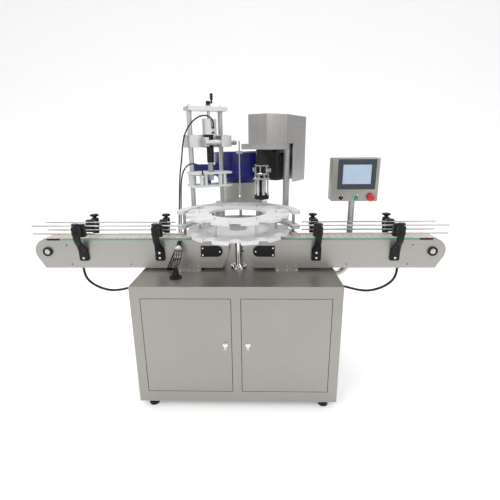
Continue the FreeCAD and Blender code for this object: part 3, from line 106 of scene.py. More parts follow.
def makeSurfaceGrain():
    # fine streaks from noise on stretched coordinates, and slow clouds from noise on plain ones
    group, entry, leave = newGroup(
        "surfaceGrain",
        [("Vector", "NodeSocketVector", None), ("Stretch", "NodeSocketVector", (1, 1, 1)),
         ("Cloud Size", "NodeSocketFloat", 4.0)],
        [("Streak", "NodeSocketFloat"), ("Cloud", "NodeSocketFloat")])
    stretched = addNode(group, "ShaderNodeVectorMath", operation="MULTIPLY")
    group.links.new(entry.outputs["Vector"], stretched.inputs[0])
    group.links.new(entry.outputs["Stretch"], stretched.inputs[1])
    fine = noiseNode(group, stretched.outputs[0], 1.0, 4.0, 0.62)
    cloud = addNode(group, "ShaderNodeTexNoise")
    group.links.new(entry.outputs["Vector"], cloud.inputs["Vector"])
    group.links.new(entry.outputs["Cloud Size"], cloud.inputs["Scale"])
    cloud.inputs["Detail"].default_value = 2.0
    group.links.new(fine, leave.inputs["Streak"])
    group.links.new(cloud.outputs["Fac"], leave.inputs["Cloud"])
    return group


def makeEdgeWearAndHighlight():
    # a mask that is high where the rounded normal turns away from the face normal, broken up by noise;
    # mixed toward a lighter tone it paints highlights on the edges, partly real edge wear and partly
    # painted highlight
    group, entry, leave = newGroup(
        "edgeWearAndHighlight",
        [("Vector", "NodeSocketVector", None), ("Strength", "NodeSocketFloat", 1.0)],
        [("Mask", "NodeSocketFloat")])
    bevel = addNode(group, "ShaderNodeBevel", samples=4)
    bevel.inputs["Radius"].default_value = 0.0022
    geometry = addNode(group, "ShaderNodeNewGeometry")
    dot = addNode(group, "ShaderNodeVectorMath", operation="DOT_PRODUCT")
    group.links.new(bevel.outputs[0], dot.inputs[0])
    group.links.new(geometry.outputs["Normal"], dot.inputs[1])
    away = mathNode(group, "SUBTRACT", 1.0, dot.outputs["Value"], clamp=True)
    patchy = noiseNode(group, entry.outputs["Vector"], 60.0)
    spread = mathNode(group, "MULTIPLY_ADD", patchy, 5.0, 0.8)
    wornAndLit = mathNode(group, "MULTIPLY", away, spread)
    mask = mathNode(group, "MULTIPLY", wornAndLit, entry.outputs["Strength"], clamp=True)
    group.links.new(mask, leave.inputs["Mask"])
    return group


def makeShopDust():
    # settled dust: more on faces that look up, in soft patches
    group, entry, leave = newGroup(
        "shopDust",
        [("Vector", "NodeSocketVector", None), ("Amount", "NodeSocketFloat", 0.3)],
        [("Mask", "NodeSocketFloat")])
    geometry = addNode(group, "ShaderNodeNewGeometry")
    parts = addNode(group, "ShaderNodeSeparateXYZ")
    group.links.new(geometry.outputs["Normal"], parts.inputs[0])
    facing = mathNode(group, "MULTIPLY_ADD", parts.outputs["Z"], 0.7, 0.25, clamp=True)
    patchy = noiseNode(group, entry.outputs["Vector"], 14.0, 5.0, 0.6)
    cut = mathNode(group, "MULTIPLY_ADD", patchy, 2.4, -0.7, clamp=True)
    spread = mathNode(group, "MULTIPLY", facing, cut)
    mask = mathNode(group, "MULTIPLY", spread, entry.outputs["Amount"], clamp=True)
    group.links.new(mask, leave.inputs["Mask"])
    return group


surfaceGrain = makeSurfaceGrain()
edgeWearAndHighlight = makeEdgeWearAndHighlight()
shopDust = makeShopDust()


def placeGroup(tree, group, vector, **values):
    node = addNode(tree, "ShaderNodeGroup", node_tree=group)
    tree.links.new(vector, node.inputs["Vector"])
    for key, value in values.items():
        node.inputs[key].default_value = value
    return node


def mixColour(tree, factor, first, second):
    node = addNode(tree, "ShaderNodeMix", data_type="RGBA")
    if isinstance(factor, (int, float)):
        node.inputs[0].default_value = factor
    else:
        tree.links.new(factor, node.inputs[0])
    for index, value in ((6, first), (7, second)):
        if isinstance(value, (tuple, list)):
            node.inputs[index].default_value = (*value, 1)
        else:
            tree.links.new(value, node.inputs[index])
    return node.outputs[2]


# one dictionary for each finish; dark and light are the grain's two tones
# the edge mask's strength and tone: lighter than the base for most finishes, so mostly a painted edge
# highlight, partly real edge wear
finishes = {
    "cabinetSteel": dict(dark=(0.26, 0.248, 0.226), light=(0.40, 0.385, 0.358), metal=0.85,
                         rough=(0.28, 0.44), stretch=(2.5, 420, 420), cloud=2.2, bump=0.05, wearAndHighlight=0.25,
                         wornAndHighlightTone=(0.75, 0.74, 0.72), dust=0.10),
    "conveyorSteel": dict(dark=(0.31, 0.298, 0.275), light=(0.47, 0.455, 0.428), metal=0.80,
                          rough=(0.28, 0.46), stretch=(3.0, 380, 380), cloud=3.0, bump=0.05, wearAndHighlight=0.3,
                          wornAndHighlightTone=(0.78, 0.77, 0.75), dust=0.12),
    "coverSteel": dict(dark=(0.30, 0.295, 0.29), light=(0.62, 0.61, 0.60), metal=0.95, rough=(0.20, 0.34),
                       stretch=(260, 260, 2.0), cloud=6.0, bump=0.06, wearAndHighlight=0.3, wornAndHighlightTone=(0.85, 0.85, 0.85),
                       dust=0.05),
    "turnedSteel": dict(dark=(0.40, 0.40, 0.41), light=(0.62, 0.62, 0.63), metal=0.95, rough=(0.20, 0.36),
                        stretch=(60, 60, 900), cloud=8.0, bump=0.03, wearAndHighlight=0.2, wornAndHighlightTone=(0.8, 0.8, 0.8),
                        dust=0.06),
    "drawnSteel": dict(dark=(0.38, 0.38, 0.37), light=(0.58, 0.57, 0.56), metal=0.95, rough=(0.24, 0.38),
                       stretch=(6, 700, 700), cloud=8.0, bump=0.03, wearAndHighlight=0.2, wornAndHighlightTone=(0.8, 0.8, 0.8),
                       dust=0.06),
    "satinAluminium": dict(dark=(0.50, 0.50, 0.50), light=(0.68, 0.68, 0.67), metal=0.80, rough=(0.34, 0.5),
                           stretch=(300, 8, 300), cloud=7.0, bump=0.05, wearAndHighlight=0.4,
                           wornAndHighlightTone=(0.86, 0.86, 0.86), dust=0.08),
    "brightChrome": dict(dark=(0.62, 0.62, 0.63), light=(0.80, 0.80, 0.81), metal=1.0, rough=(0.06, 0.16),
                         stretch=(140, 140, 140), cloud=9.0, bump=0.01, wearAndHighlight=0.1, wornAndHighlightTone=(0.9, 0.9, 0.9),
                         dust=0.04),
    "motorPaint": dict(dark=(0.012, 0.012, 0.013), light=(0.028, 0.028, 0.030), rough=(0.38, 0.55),
                       stretch=(240, 240, 240), cloud=6.0, bump=0.12, wearAndHighlight=0.4, wornAndHighlightTone=(0.18, 0.18, 0.18),
                       dust=0.06, gleam=0.35),
    "greyPaint": dict(dark=(0.42, 0.43, 0.43), light=(0.52, 0.53, 0.53), rough=(0.4, 0.55),
                      stretch=(200, 200, 200), cloud=5.0, bump=0.08, wearAndHighlight=0.3, wornAndHighlightTone=(0.6, 0.6, 0.6),
                      dust=0.1),
    "basePaint": dict(dark=(0.52, 0.50, 0.44), light=(0.66, 0.64, 0.58), rough=(0.38, 0.55),
                      stretch=(180, 180, 180), cloud=5.0, bump=0.10, wearAndHighlight=0.4, wornAndHighlightTone=(0.5, 0.49, 0.46),
                      dust=0.12),
    "blackPlastic": dict(dark=(0.004, 0.004, 0.0045), light=(0.011, 0.011, 0.012), rough=(0.36, 0.55),
                         stretch=(900, 900, 900), cloud=10.0, bump=0.10, wearAndHighlight=0.35,
                         wornAndHighlightTone=(0.06, 0.06, 0.06), dust=0.03, gleam=0.25),
    "bezelPlastic": dict(dark=(0.030, 0.038, 0.050), light=(0.048, 0.058, 0.074), rough=(0.30, 0.44),
                         stretch=(700, 700, 700), cloud=6.0, bump=0.06, wearAndHighlight=0.3,
                         wornAndHighlightTone=(0.12, 0.13, 0.15), dust=0.04, gleam=0.35),
    "screenGlass": dict(dark=(0.36, 0.46, 0.58), light=(0.46, 0.56, 0.68), rough=(0.05, 0.12),
                        stretch=(20, 20, 20), cloud=5.0, bump=0.0, wearAndHighlight=0.0, wornAndHighlightTone=(0.5, 0.6, 0.7),
                        dust=0.03),
    "slatPlastic": dict(dark=(0.50, 0.42, 0.36), light=(0.66, 0.58, 0.51), rough=(0.36, 0.52),
                        stretch=(260, 30, 260), cloud=6.0, bump=0.06, wearAndHighlight=0.6, wornAndHighlightTone=(0.42, 0.34, 0.28),
                        dust=0.12),
    "greenStrip": dict(dark=(0.06, 0.26, 0.16), light=(0.12, 0.38, 0.25), rough=(0.3, 0.46),
                       stretch=(4, 500, 500), cloud=8.0, bump=0.05, wearAndHighlight=0.6, wornAndHighlightTone=(0.35, 0.60, 0.48),
                       dust=0.15),
    "whiteBoard": dict(dark=(0.60, 0.60, 0.605), light=(0.72, 0.72, 0.725), rough=(0.34, 0.50),
                       stretch=(160, 160, 500), cloud=4.0, bump=0.06, wearAndHighlight=0.3, wornAndHighlightTone=(0.92, 0.92, 0.92),
                       dust=0.08),
    "paleBoard": dict(dark=(0.62, 0.64, 0.64), light=(0.76, 0.78, 0.78), rough=(0.28, 0.42),
                      stretch=(200, 200, 500), cloud=5.0, bump=0.05, wearAndHighlight=0.4, wornAndHighlightTone=(0.90, 0.90, 0.90),
                      dust=0.06),
    "bluePlastic": dict(dark=(0.006, 0.010, 0.13), light=(0.012, 0.018, 0.23), rough=(0.22, 0.38),
                        stretch=(220, 220, 60), cloud=5.0, bump=0.08, wearAndHighlight=0.3, wornAndHighlightTone=(0.06, 0.08, 0.36),
                        dust=0.02),
    "greenButton": dict(dark=(0.01, 0.20, 0.07), light=(0.02, 0.32, 0.12), rough=(0.2, 0.34),
                        stretch=(300, 300, 300), cloud=20.0, bump=0.03, wearAndHighlight=0.5, wornAndHighlightTone=(0.2, 0.6, 0.35),
                        dust=0.05),
    "redButton": dict(dark=(0.45, 0.012, 0.012), light=(0.62, 0.02, 0.02), rough=(0.2, 0.34),
                      stretch=(300, 300, 300), cloud=20.0, bump=0.03, wearAndHighlight=0.4, wornAndHighlightTone=(0.8, 0.2, 0.2),
                      dust=0.05),
    "cableJacket": dict(dark=(0.004, 0.004, 0.0045), light=(0.011, 0.011, 0.012), rough=(0.36, 0.5),
                        stretch=(500, 500, 500), cloud=14.0, bump=0.08, wearAndHighlight=0.2,
                        wornAndHighlightTone=(0.05, 0.05, 0.05), dust=0.03, gleam=0.3),
}


def makeFinish(name, dark, light, rough, stretch, cloud, bump, wearAndHighlight, wornAndHighlightTone, dust, metal=0.0, gleam=0.5):
    material = bpy.data.materials.new(name)
    material.use_nodes = True
    tree = material.node_tree
    shader = tree.nodes["Principled BSDF"]
    shader.inputs["Metallic"].default_value = metal
    shader.inputs["Specular IOR Level"].default_value = gleam
    place = addNode(tree, "ShaderNodeTexCoord").outputs["Object"]
    grain = placeGroup(tree, surfaceGrain, place, **{"Stretch": stretch, "Cloud Size": cloud})
    blendIn = mathNode(tree, "MULTIPLY_ADD", grain.outputs["Streak"], 0.6, 0.05)
    tone = mathNode(tree, "MULTIPLY_ADD", grain.outputs["Cloud"], 0.4, blendIn, clamp=True)
    colour = mixColour(tree, tone, dark, light)
    # edges mixed toward a tone that is lighter for most finishes: a painted edge highlight, partly also
    # real edge wear
    wornAndLit = placeGroup(tree, edgeWearAndHighlight, place, Strength=wearAndHighlight)
    colour = mixColour(tree, wornAndLit.outputs["Mask"], colour, wornAndHighlightTone)
    dusty = placeGroup(tree, shopDust, place, Amount=dust)
    colour = mixColour(tree, dusty.outputs["Mask"], colour, (0.55, 0.53, 0.49))
    tree.links.new(colour, shader.inputs["Base Color"])
    low, high = rough
    gloss = mathNode(tree, "MULTIPLY_ADD", tone, high - low, low)
    matt = mathNode(tree, "MULTIPLY_ADD", dusty.outputs["Mask"], 0.3, gloss, clamp=True)
    tree.links.new(matt, shader.inputs["Roughness"])
    relief = addNode(tree, "ShaderNodeBump")
    relief.inputs["Strength"].default_value = bump
    relief.inputs["Distance"].default_value = 0.0006
    tree.links.new(grain.outputs["Streak"], relief.inputs["Height"])
    tree.links.new(relief.outputs["Normal"], shader.inputs["Normal"])
    return material


materials = {name: makeFinish(name, **values) for name, values in finishes.items()}
print("finishes made:", len(materials))

slotFinish = {
    "cabinet_steel": "cabinetSteel", "conveyor_steel": "conveyorSteel", "cover_steel": "coverSteel",
    "shaft_steel": "turnedSteel", "rail_steel": "drawnSteel", "grey_metal": "greyPaint",
    "motor_grey": "motorPaint", "base_paint": "basePaint", "chrome_trim": "brightChrome",
    "aluminium": "satinAluminium", "black_plastic": "blackPlastic", "slat_beige": "slatPlastic",
    "green_plastic": "greenStrip", "white_plastic": "whiteBoard", "pale_plastic": "paleBoard",
    "blue_plastic": "bluePlastic", "green_button": "greenButton", "red_button": "redButton",
    "cable_rubber": "cableJacket",
}
for part in frame["record"]["subparts"]:
    finish = materials[slotFinish[part["material_slot"]]]
    mesh = nodes[part["node"]].data
    for index in range(len(mesh.materials)):
        mesh.materials[index] = finish
print("machine parts finished:", len(nodes))


# mesh code: a part is a pair of a vertex array and a list of faces

def gridFaces(rows, columns, closeRows=False, closeColumns=True):
    # quads between neighbouring rows and columns of a grid, wrapped round where it is closed
    r = np.arange(rows if closeRows else rows - 1)
    c = np.arange(columns if closeColumns else columns - 1)
    r, c = np.meshgrid(r, c, indexing="ij")
    r2, c2 = (r + 1) % rows, (c + 1) % columns
    quads = np.stack([r * columns + c, r * columns + c2, r2 * columns + c2, r2 * columns + c], axis=-1)
    return quads.reshape(-1, 4).tolist()


def ringStack(points, capStart=True, capEnd=True):
    # closed rings of points, one after the other, with a flat cap on either end
    rows, columns = points.shape[:2]
    faces = gridFaces(rows, columns)
    if capStart:
        faces.append(list(range(columns))[::-1])
    if capEnd:
        faces.append(list(range((rows - 1) * columns, rows * columns)))
    return points.reshape(-1, 3), faces


def turned(profile, steps=32):
    # x and y are the profile's radius times cosine and sine of the turn, z is the profile's height
    profile = np.asarray(profile, dtype=float)
    angle = np.linspace(0, 2 * math.pi, steps, endpoint=False)
    x = profile[:, :1] * np.cos(angle)
    y = profile[:, :1] * np.sin(angle)
    z = np.repeat(profile[:, 1:2], steps, axis=1)
    return ringStack(np.stack([x, y, z], axis=-1))


def moved(part, position, way=upWay, twist=0.0):
    # turns local z to the given way and moves the part there
    turn = upWay.rotation_difference(Vector(way)).to_matrix() @ Matrix.Rotation(twist, 3, "Z")
    points = part[0] @ np.array(turn).T + np.array(position)
    return points, part[1]


def joinParts(parts):
    points = []
    faces = []
    count = 0
    for partPoints, partFaces in parts:
        points.append(partPoints)
        faces += [[index + count for index in face] for face in partFaces]
        count += len(partPoints)
    return np.concatenate(points), faces


def addPiece(name, parts, body, finish, sharp=0.6, replaced=()):
    points, faces = joinParts(parts)
    mesh = bpy.data.meshes.new(name)
    mesh.from_pydata(points.tolist(), [], faces)
    mesh.shade_smooth()
    mesh.set_sharp_from_angle(angle=sharp)
    mesh.materials.append(materials[finish])
    piece = bpy.data.objects.new(name, mesh)
    bpy.context.scene.collection.objects.link(piece)
    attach(piece, body)
    if replaced:
        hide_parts(*replaced)
    return piece


# slat chains: one rounded plate after another along the loop of each conveyor

slats = dict(width=0.0825, thick=0.0048, gap=0.0016, corner=0.006, count=57)


def slatLoop(side):
    # the loop's straight runs and half circles as one path; each slat stands square to it
    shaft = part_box(("left" if side < 0 else "right") + "_outer_shaft")
    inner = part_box(("left" if side < 0 else "right") + "_inner_shaft")
    farX = (shaft[0].x + shaft[1].x) / 2
    nearX = (inner[0].x + inner[1].x) / 2
    height = (shaft[0].z + shaft[1].z) / 2
    low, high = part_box("slat_chains")
    radius = (high.z - low.z) / 2 - slats["thick"] / 2
    start, end = min(farX, nearX), max(farX, nearX)
    straight = end - start
    total = 2 * straight + 2 * math.pi * radius
    along = np.arange(slats["count"]) * total / slats["count"]
    parts = []
    half = total / slats["count"] / 2 - slats["gap"] / 2
    # plan of one slat: a rectangle with rounded corners
    corner = slats["corner"]
    turns = np.linspace(0, math.pi / 2, 4)
    plan = []
    for cx, cy, first in ((1, 1, 0), (-1, 1, 1), (-1, -1, 2), (1, -1, 3)):
        a = turns + first * math.pi / 2
        plan.append(np.stack([cx * (half - corner) + corner * np.cos(a),
                              cy * (slats["width"] / 2 - corner) + corner * np.sin(a)], axis=-1))
    plan = np.concatenate(plan)
    lift = np.array([[-slats["thick"] / 2, 0.96], [-slats["thick"] / 2 + 0.001, 1.0],
                     [slats["thick"] / 2 - 0.0012, 1.0], [slats["thick"] / 2, 0.97]])
    rings = np.zeros((len(lift), len(plan), 3))
    rings[:, :, 0] = plan[None, :, 0] * lift[:, 1:2]
    rings[:, :, 1] = plan[None, :, 1] * (1 - (1 - lift[:, 1:2]) * 0.4)
    rings[:, :, 2] = lift[:, 0:1]
    plate = ringStack(rings)
    for s in along:
        if s < straight:
            centre = (start + s, 0, height + radius)
            angle = 0.0
        elif s < straight + math.pi * radius:
            angle = (s - straight) / radius
            centre = (end + radius * math.sin(angle), 0, height + radius * math.cos(angle))
        elif s < 2 * straight + math.pi * radius:
            angle = math.pi
            centre = (end - (s - straight - math.pi * radius), 0, height - radius)
        else:
            angle = math.pi + (s - 2 * straight - math.pi * radius) / radius
            centre = (start + radius * math.sin(angle), 0, height + radius * math.cos(angle))
        turn = np.array(Matrix.Rotation(angle, 3, "Y"))
        parts.append((plate[0] @ turn.T + np.array(centre), plate[1]))
    return parts


for side, name in ((-1, "leftSlats"), (1, "rightSlats")):
    addPiece(name, slatLoop(side), "frame", "slatPlastic", sharp=0.5)
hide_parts("slat_chains")
print("slat chains made")


# cables and hoses: smooth curves on the same route points as their solids

def mirroredRoute(points):
    return [(-x, y, z) for x, y, z in points]


sideRoute = [
    (0.845, 0, 0.662), (0.845, 0, 0.622), (0.820, -0.003, 0.579), (0.768, -0.006, 0.547),
    (0.707, -0.010, 0.532), (0.652, -0.014, 0.537), (0.600, -0.017, 0.551), (0.556, -0.020, 0.565),
    (0.518, -0.020, 0.565),
]
upperStart = (-0.13881, 0.25242, 1.392)
upperRoute = [(upperStart[0] + x, upperStart[1], upperStart[2] + z) for x, z in (
    (0, 0), (0, 0.024), (-0.012, 0.045), (-0.033, 0.057), (-0.059, 0.059), (-0.090, 0.048),
    (-0.122, 0.024), (-0.148, -0.010), (-0.168, -0.054), (-0.179, -0.108), (-0.187, -0.170))]
upperRoute += [(-0.341, 0.254, 1.140), (-0.350, 0.257, 1.050), (-0.358, 0.260, 0.950),
               (-0.367, 0.262, 0.840), (-0.372, 0.262, 0.750), (-0.372, 0.262, 0.685)]
lowerStart = (-0.20312, 0.21182, 1.131)
lowerRoute = [(lowerStart[0] + x, lowerStart[1] + y, lowerStart[2] + z) for x, y, z in (
    (0, 0, 0), (0, 0, 0.022), (-0.013, 0.002, 0.047), (-0.034, 0.007, 0.062), (-0.060, 0.013, 0.066),
    (-0.087, 0.020, 0.057), (-0.108, 0.027, 0.035), (-0.124, 0.034, 0.003), (-0.134, 0.040, -0.042))]
lowerRoute += [(-0.343, 0.257, 1.020), (-0.349, 0.260, 0.930), (-0.356, 0.262, 0.830),
               (-0.361, 0.262, 0.740), (-0.361, 0.262, 0.685)]


def centreLine(curve):
    # the points of the curve's own centre line
    depsgraph = bpy.context.evaluated_depsgraph_get()
    thin = curve.copy()
    thin.data = curve.data.copy()
    thin.data.bevel_depth = 0
    bpy.context.scene.collection.objects.link(thin)
    depsgraph.update()
    mesh = thin.evaluated_get(depsgraph).to_mesh()
    points = np.array([v.co for v in mesh.vertices])
    data = thin.data
    bpy.data.objects.remove(thin)
    bpy.data.curves.remove(data)
    return points


def lineLength(points):
    return float(np.linalg.norm(np.diff(points, axis=0), axis=1).sum())


def routeCurve(name, route):
    # a smooth spline that starts and ends on the route's own ends
    data = bpy.data.curves.new(name, "CURVE")
    data.dimensions = "3D"
    data.resolution_u = 10
    spline = data.splines.new("NURBS")
    spline.points.add(len(route) - 1)
    spline.points.foreach_set("co", np.array([(*point, 1.0) for point in route]).ravel())
    spline.order_u = 3
    spline.use_endpoint_u = True
    return data


def addCord(name, route, radius, body, node):
    data = routeCurve(name, route)
    data.bevel_depth = radius
    data.bevel_resolution = 5
    data.use_fill_caps = True
    data.materials.append(materials["cableJacket"])
    cord = bpy.data.objects.new(name, data)
    bpy.context.scene.collection.objects.link(cord)
    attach(cord, body)
    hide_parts(node)
    length = lineLength(centreLine(cord))
    print(name, "length", round(length, 3))
    return cord


addCord("rightSideCable", sideRoute, 0.0065, "frame", "right_side_cable")
addCord("leftSideCable", mirroredRoute(sideRoute), 0.0065, "frame", "left_side_cable")


def addBendingHose(name, route, radius, node):
    # a mesh tube on the same curve, between the frame and the carriage
    data = routeCurve(name + "Line", route)
    line = bpy.data.objects.new(name + "Line", data)
    bpy.context.scene.collection.objects.link(line)
    path = centreLine(line)
    bpy.data.objects.remove(line)
    bpy.data.curves.remove(data)
    points, faces = tubeAlong(path, radius, 16, (0.2, 1, 0.1))
    mesh = bpy.data.meshes.new(name)
    mesh.from_pydata(points.tolist(), [], faces)
    mesh.shade_smooth()
    mesh.set_sharp_from_angle(angle=0.9)
    mesh.materials.append(materials["cableJacket"])
    hose = bpy.data.objects.new(name, mesh)
    bpy.context.scene.collection.objects.link(hose)
    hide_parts(node)
    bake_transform(hose)


addCord("lowerAirHose", lowerRoute, 0.004, "frame", "lower_air_hose")
print("cables and hoses made")
# shapes shared by the detail pieces

def roundedPlan(halfX, halfY, corner, steps=4):
    # a rectangle whose corners are quarter circles, counted anticlockwise
    turns = np.linspace(0, math.pi / 2, steps)
    quarters = []
    for sideX, sideY, first in ((1, 1, 0), (-1, 1, 1), (-1, -1, 2), (1, -1, 3)):
        a = turns + first * math.pi / 2
        quarters.append(np.stack([sideX * (halfX - corner) + corner * np.cos(a),
                                  sideY * (halfY - corner) + corner * np.sin(a)], axis=-1))
    return np.concatenate(quarters)


def stackPlans(plans, heights):
    # closed outlines, one at each height
    rings = [np.column_stack([plan, np.full(len(plan), height)]) for plan, height in zip(plans, heights)]
    return ringStack(np.stack(rings))


def softBlock(low, high, corner=0.002, bevel=0.001):
    # a block with round upright edges; its end outlines draw in by the bevel
    centreX, centreY = (low[0] + high[0]) / 2, (low[1] + high[1]) / 2
    halfX, halfY = (high[0] - low[0]) / 2, (high[1] - low[1]) / 2
    insets = (bevel, 0, 0, bevel)
    heights = (low[2], low[2] + bevel, high[2] - bevel, high[2])
    plans = [roundedPlan(halfX - inset, halfY - inset, max(corner - inset, 0.0003)) + (centreX, centreY)
             for inset in insets]
    return stackPlans(plans, heights)


def fluted(profile, count, steps=72):
    # turned, with the radius drawn in by depth times a raised cosine of count turns
    profile = np.asarray(profile, dtype=float)
    angle = np.linspace(0, 2 * math.pi, steps, endpoint=False)
    radius = profile[:, :1] - profile[:, 2:3] * (0.5 - 0.5 * np.cos(count * angle))
    z = np.repeat(profile[:, 1:2], steps, axis=1)
    return ringStack(np.stack([radius * np.cos(angle), radius * np.sin(angle), z], axis=-1))


def turnedRing(profile, steps=36):
    # a closed profile carried once round the axis
    profile = np.asarray(profile, dtype=float)
    angle = np.linspace(0, 2 * math.pi, steps, endpoint=False)
    x = profile[:, :1] * np.cos(angle)
    y = profile[:, :1] * np.sin(angle)
    z = np.repeat(profile[:, 1:2], steps, axis=1)
    points = np.stack([x, y, z], axis=-1)
    return points.reshape(-1, 3), gridFaces(len(profile), steps, closeRows=True)


def tubeAlong(path, radius, steps=10, beside=(0, 0, 1)):
    # a circle square to the path's direction at every point
    path = np.asarray(path, dtype=float)
    ahead = np.gradient(path, axis=0)
    ahead /= np.linalg.norm(ahead, axis=1, keepdims=True)
    side = np.cross(ahead, np.array(beside, dtype=float))
    side /= np.linalg.norm(side, axis=1, keepdims=True)
    over = np.cross(side, ahead)
    angle = np.linspace(0, 2 * math.pi, steps, endpoint=False)
    ring = side[:, None] * np.cos(angle)[:, None] - over[:, None] * np.sin(angle)[:, None]
    return ringStack((path[:, None] + radius * ring)[:, ::-1])


def coilSpring(radius, wire, low, high, turns):
    # a helix: height grows evenly with the turn
    turn = np.linspace(0, 2 * math.pi * turns, int(turns * 14))
    path = np.stack([radius * np.cos(turn), radius * np.sin(turn), np.linspace(low, high, len(turn))],
                    axis=-1)
    return tubeAlong(path, wire, 6)


def screwHead(radius, height):
    # cap screw head with a socket
    return turned([(radius * 0.96, 0), (radius, height * 0.12), (radius, height * 0.75),
                   (radius * 0.86, height),
                   (radius * 0.52, height), (radius * 0.46, height * 0.35), (radius * 0.05, height * 0.3)],
                   14)


def screws(places, way, radius, height):
    return [moved(screwHead(radius, height), place, way) for place in places]


def atStation(part, angle):
    # local x points away from the star wheel along the station's radius
    turn = np.array(Matrix.Rotation(math.radians(90 - angle), 3, "Z"))
    return part[0] @ turn.T, part[1]


def middle(node):
    low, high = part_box(node)
    return (low + high) / 2


stations = dict(placer=-30.0, head=30.0)

# capping chuck: crown with springs and side arms, cage of posts and slats, black lower ring

chuck = dict(crownHeight=0.052, plateHeight=0.030, coreRadius=0.024, postRing=0.035, postRadius=0.0046,
             slatRing=0.041, ringHeight=0.026, ringOuter=0.042, ringInner=0.024, armReach=0.050)


def aroundAxis(part, radius, count, first=0.0):
    parts = []
    for index in range(count):
        angle = first + 2 * math.pi * index / count
        turn = np.array(Matrix.Rotation(angle, 3, "Z"))
        parts.append(((part[0] + (radius, 0, 0)) @ turn.T, part[1]))
    return parts


def addChuck():
    axis = middle("spindle")
    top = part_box("spindle")[0].z - 0.0004
    low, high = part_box("chuck")
    bottom = low.z
    crown = top - chuck["crownHeight"]
    plate = crown - chuck["plateHeight"]
    ringTop = bottom + chuck["ringHeight"]
    core = chuck["coreRadius"]

    def seated(parts):
        return [moved(part, (axis.x, axis.y, 0), upWay, math.radians(60)) for part in parts]

    bright = [turned([(0.0095, top - 0.002), (0.0098, top), (0.0098, high.z - 0.001), (0.009, high.z)], 20)]
    bright.append(turned([(0.036, top - 0.009), (0.0395, top - 0.008), (0.0395, top - 0.002),
                          (0.037, top)], 40))
    bright.append(turned([(0.038, crown - 0.004), (0.042, crown - 0.003), (0.042, crown + 0.006),
                          (0.040, crown + 0.008)], 40))
    bright.append(turned([(0.045, plate), (0.048, plate + 0.002), (0.048, plate + 0.010),
                          (0.044, plate + 0.013), (0.034, plate + 0.014)], 40))
    bright += aroundAxis(turned([(0.0034, crown), (0.0034, top - 0.008)], 10), 0.034, 6, 0.3)
    bright += aroundAxis(coilSpring(0.0056, 0.0010, crown + 0.008, top - 0.010, 6), 0.034, 6, 0.3)
    bright += aroundAxis(turned([(0.0050, plate + 0.012), (0.0050, crown - 0.004)], 12), 0.038, 8, 0.1)
    arm = softBlock((-0.008, -chuck["armReach"], crown + 0.016), (0.008, chuck["armReach"], crown + 0.030),
                    0.004)
    bright.append(arm)
    for side in (-1, 1):
        roller = turned([(0.006, crown + 0.012), (0.008, crown + 0.014), (0.008, crown + 0.032),
                         (0.006, crown + 0.034), (0.003, crown + 0.035)], 16)
        bright.append((roller[0] + (0, side * chuck["armReach"], 0), roller[1]))
    post = chuck["postRadius"]
    bright += aroundAxis(turned([(post, ringTop - 0.002), (post, plate + 0.002)], 12), chuck["postRing"],
                         4, 0.785)
    bright += aroundAxis(turned([(post + 0.003, ringTop), (post + 0.003, ringTop + 0.008)], 12),
                         chuck["postRing"], 4, 0.785)
    slat = softBlock((-0.0014, -0.0055, ringTop - 0.004), (0.0014, 0.0055, plate + 0.002), 0.0013, 0.0008)
    bright += aroundAxis(slat, chuck["slatRing"] - 0.001, 4)
    finger = softBlock((-0.004, -0.008, bottom + 0.002), (0.004, 0.008, plate), 0.0025, 0.001)
    bright += aroundAxis(finger, 0.017, 3)
    addPiece("chuckBrightwork", seated(bright), "turning_chuck", "brightChrome",
             replaced=("chuck",))
    dark = [turned([(core - 0.006, plate + 0.012), (core, plate + 0.014), (core, crown),
                    (core + 0.004, crown + 0.002),
                    (core + 0.004, top - 0.010), (core - 0.002, top - 0.008)], 28)]
    dark.append(turned([(0.012, ringTop - 0.002), (0.0125, plate + 0.004)], 20))
    dark += aroundAxis(softBlock((-0.003, -0.004, crown + 0.010), (0.003, 0.004, top - 0.012), 0.002),
                       0.0375, 6, 0.82)
    outer, inner = chuck["ringOuter"], chuck["ringInner"]
    dark.append(turnedRing([(inner, bottom + 0.002), (inner + 0.002, bottom), (outer - 0.003, bottom),
                            (outer, bottom + 0.003), (outer, bottom + 0.009),
                            (outer - 0.002, bottom + 0.011),
                            (outer - 0.002, bottom + 0.014), (outer, bottom + 0.016),
                            (outer, ringTop - 0.003), (outer - 0.003, ringTop), (inner, ringTop)]))
    addPiece("chuckDarkParts", seated(dark), "turning_chuck", "blackPlastic")
    # quill above the chuck: fluted clutch housing, ribbed neck
    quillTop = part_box("spindle")[1].z
    quill = [fluted([(0.028, top + 0.0005, 0), (0.0325, top + 0.003, 0), (0.033, top + 0.006, 0.0022),
                     (0.033, top + 0.020, 0.0022), (0.0315, top + 0.022, 0), (0.0315, top + 0.026, 0),
                     (0.033, top + 0.028, 0.0022), (0.033, top + 0.044, 0.0022), (0.030, top + 0.048, 0),
                     (0.028, top + 0.0505, 0), (0.0265, top + 0.052, 0), (0.0265, top + 0.058, 0),
                     (0.028, top + 0.060, 0), (0.028, quillTop - 0.002, 0), (0.026, quillTop, 0)], 24, 96)]
    addPiece("quillBody", [moved(part, (axis.x, axis.y, 0)) for part in quill], "quill", "blackPlastic",
             replaced=("spindle",))


addChuck()
addBendingHose("upperAirHose", upperRoute, 0.004, "upper_air_hose")

# head motor: a finned case; fins are a ripple on the plan of its sides

motor = dict(fins=60, finDepth=0.003, endCap=0.016)


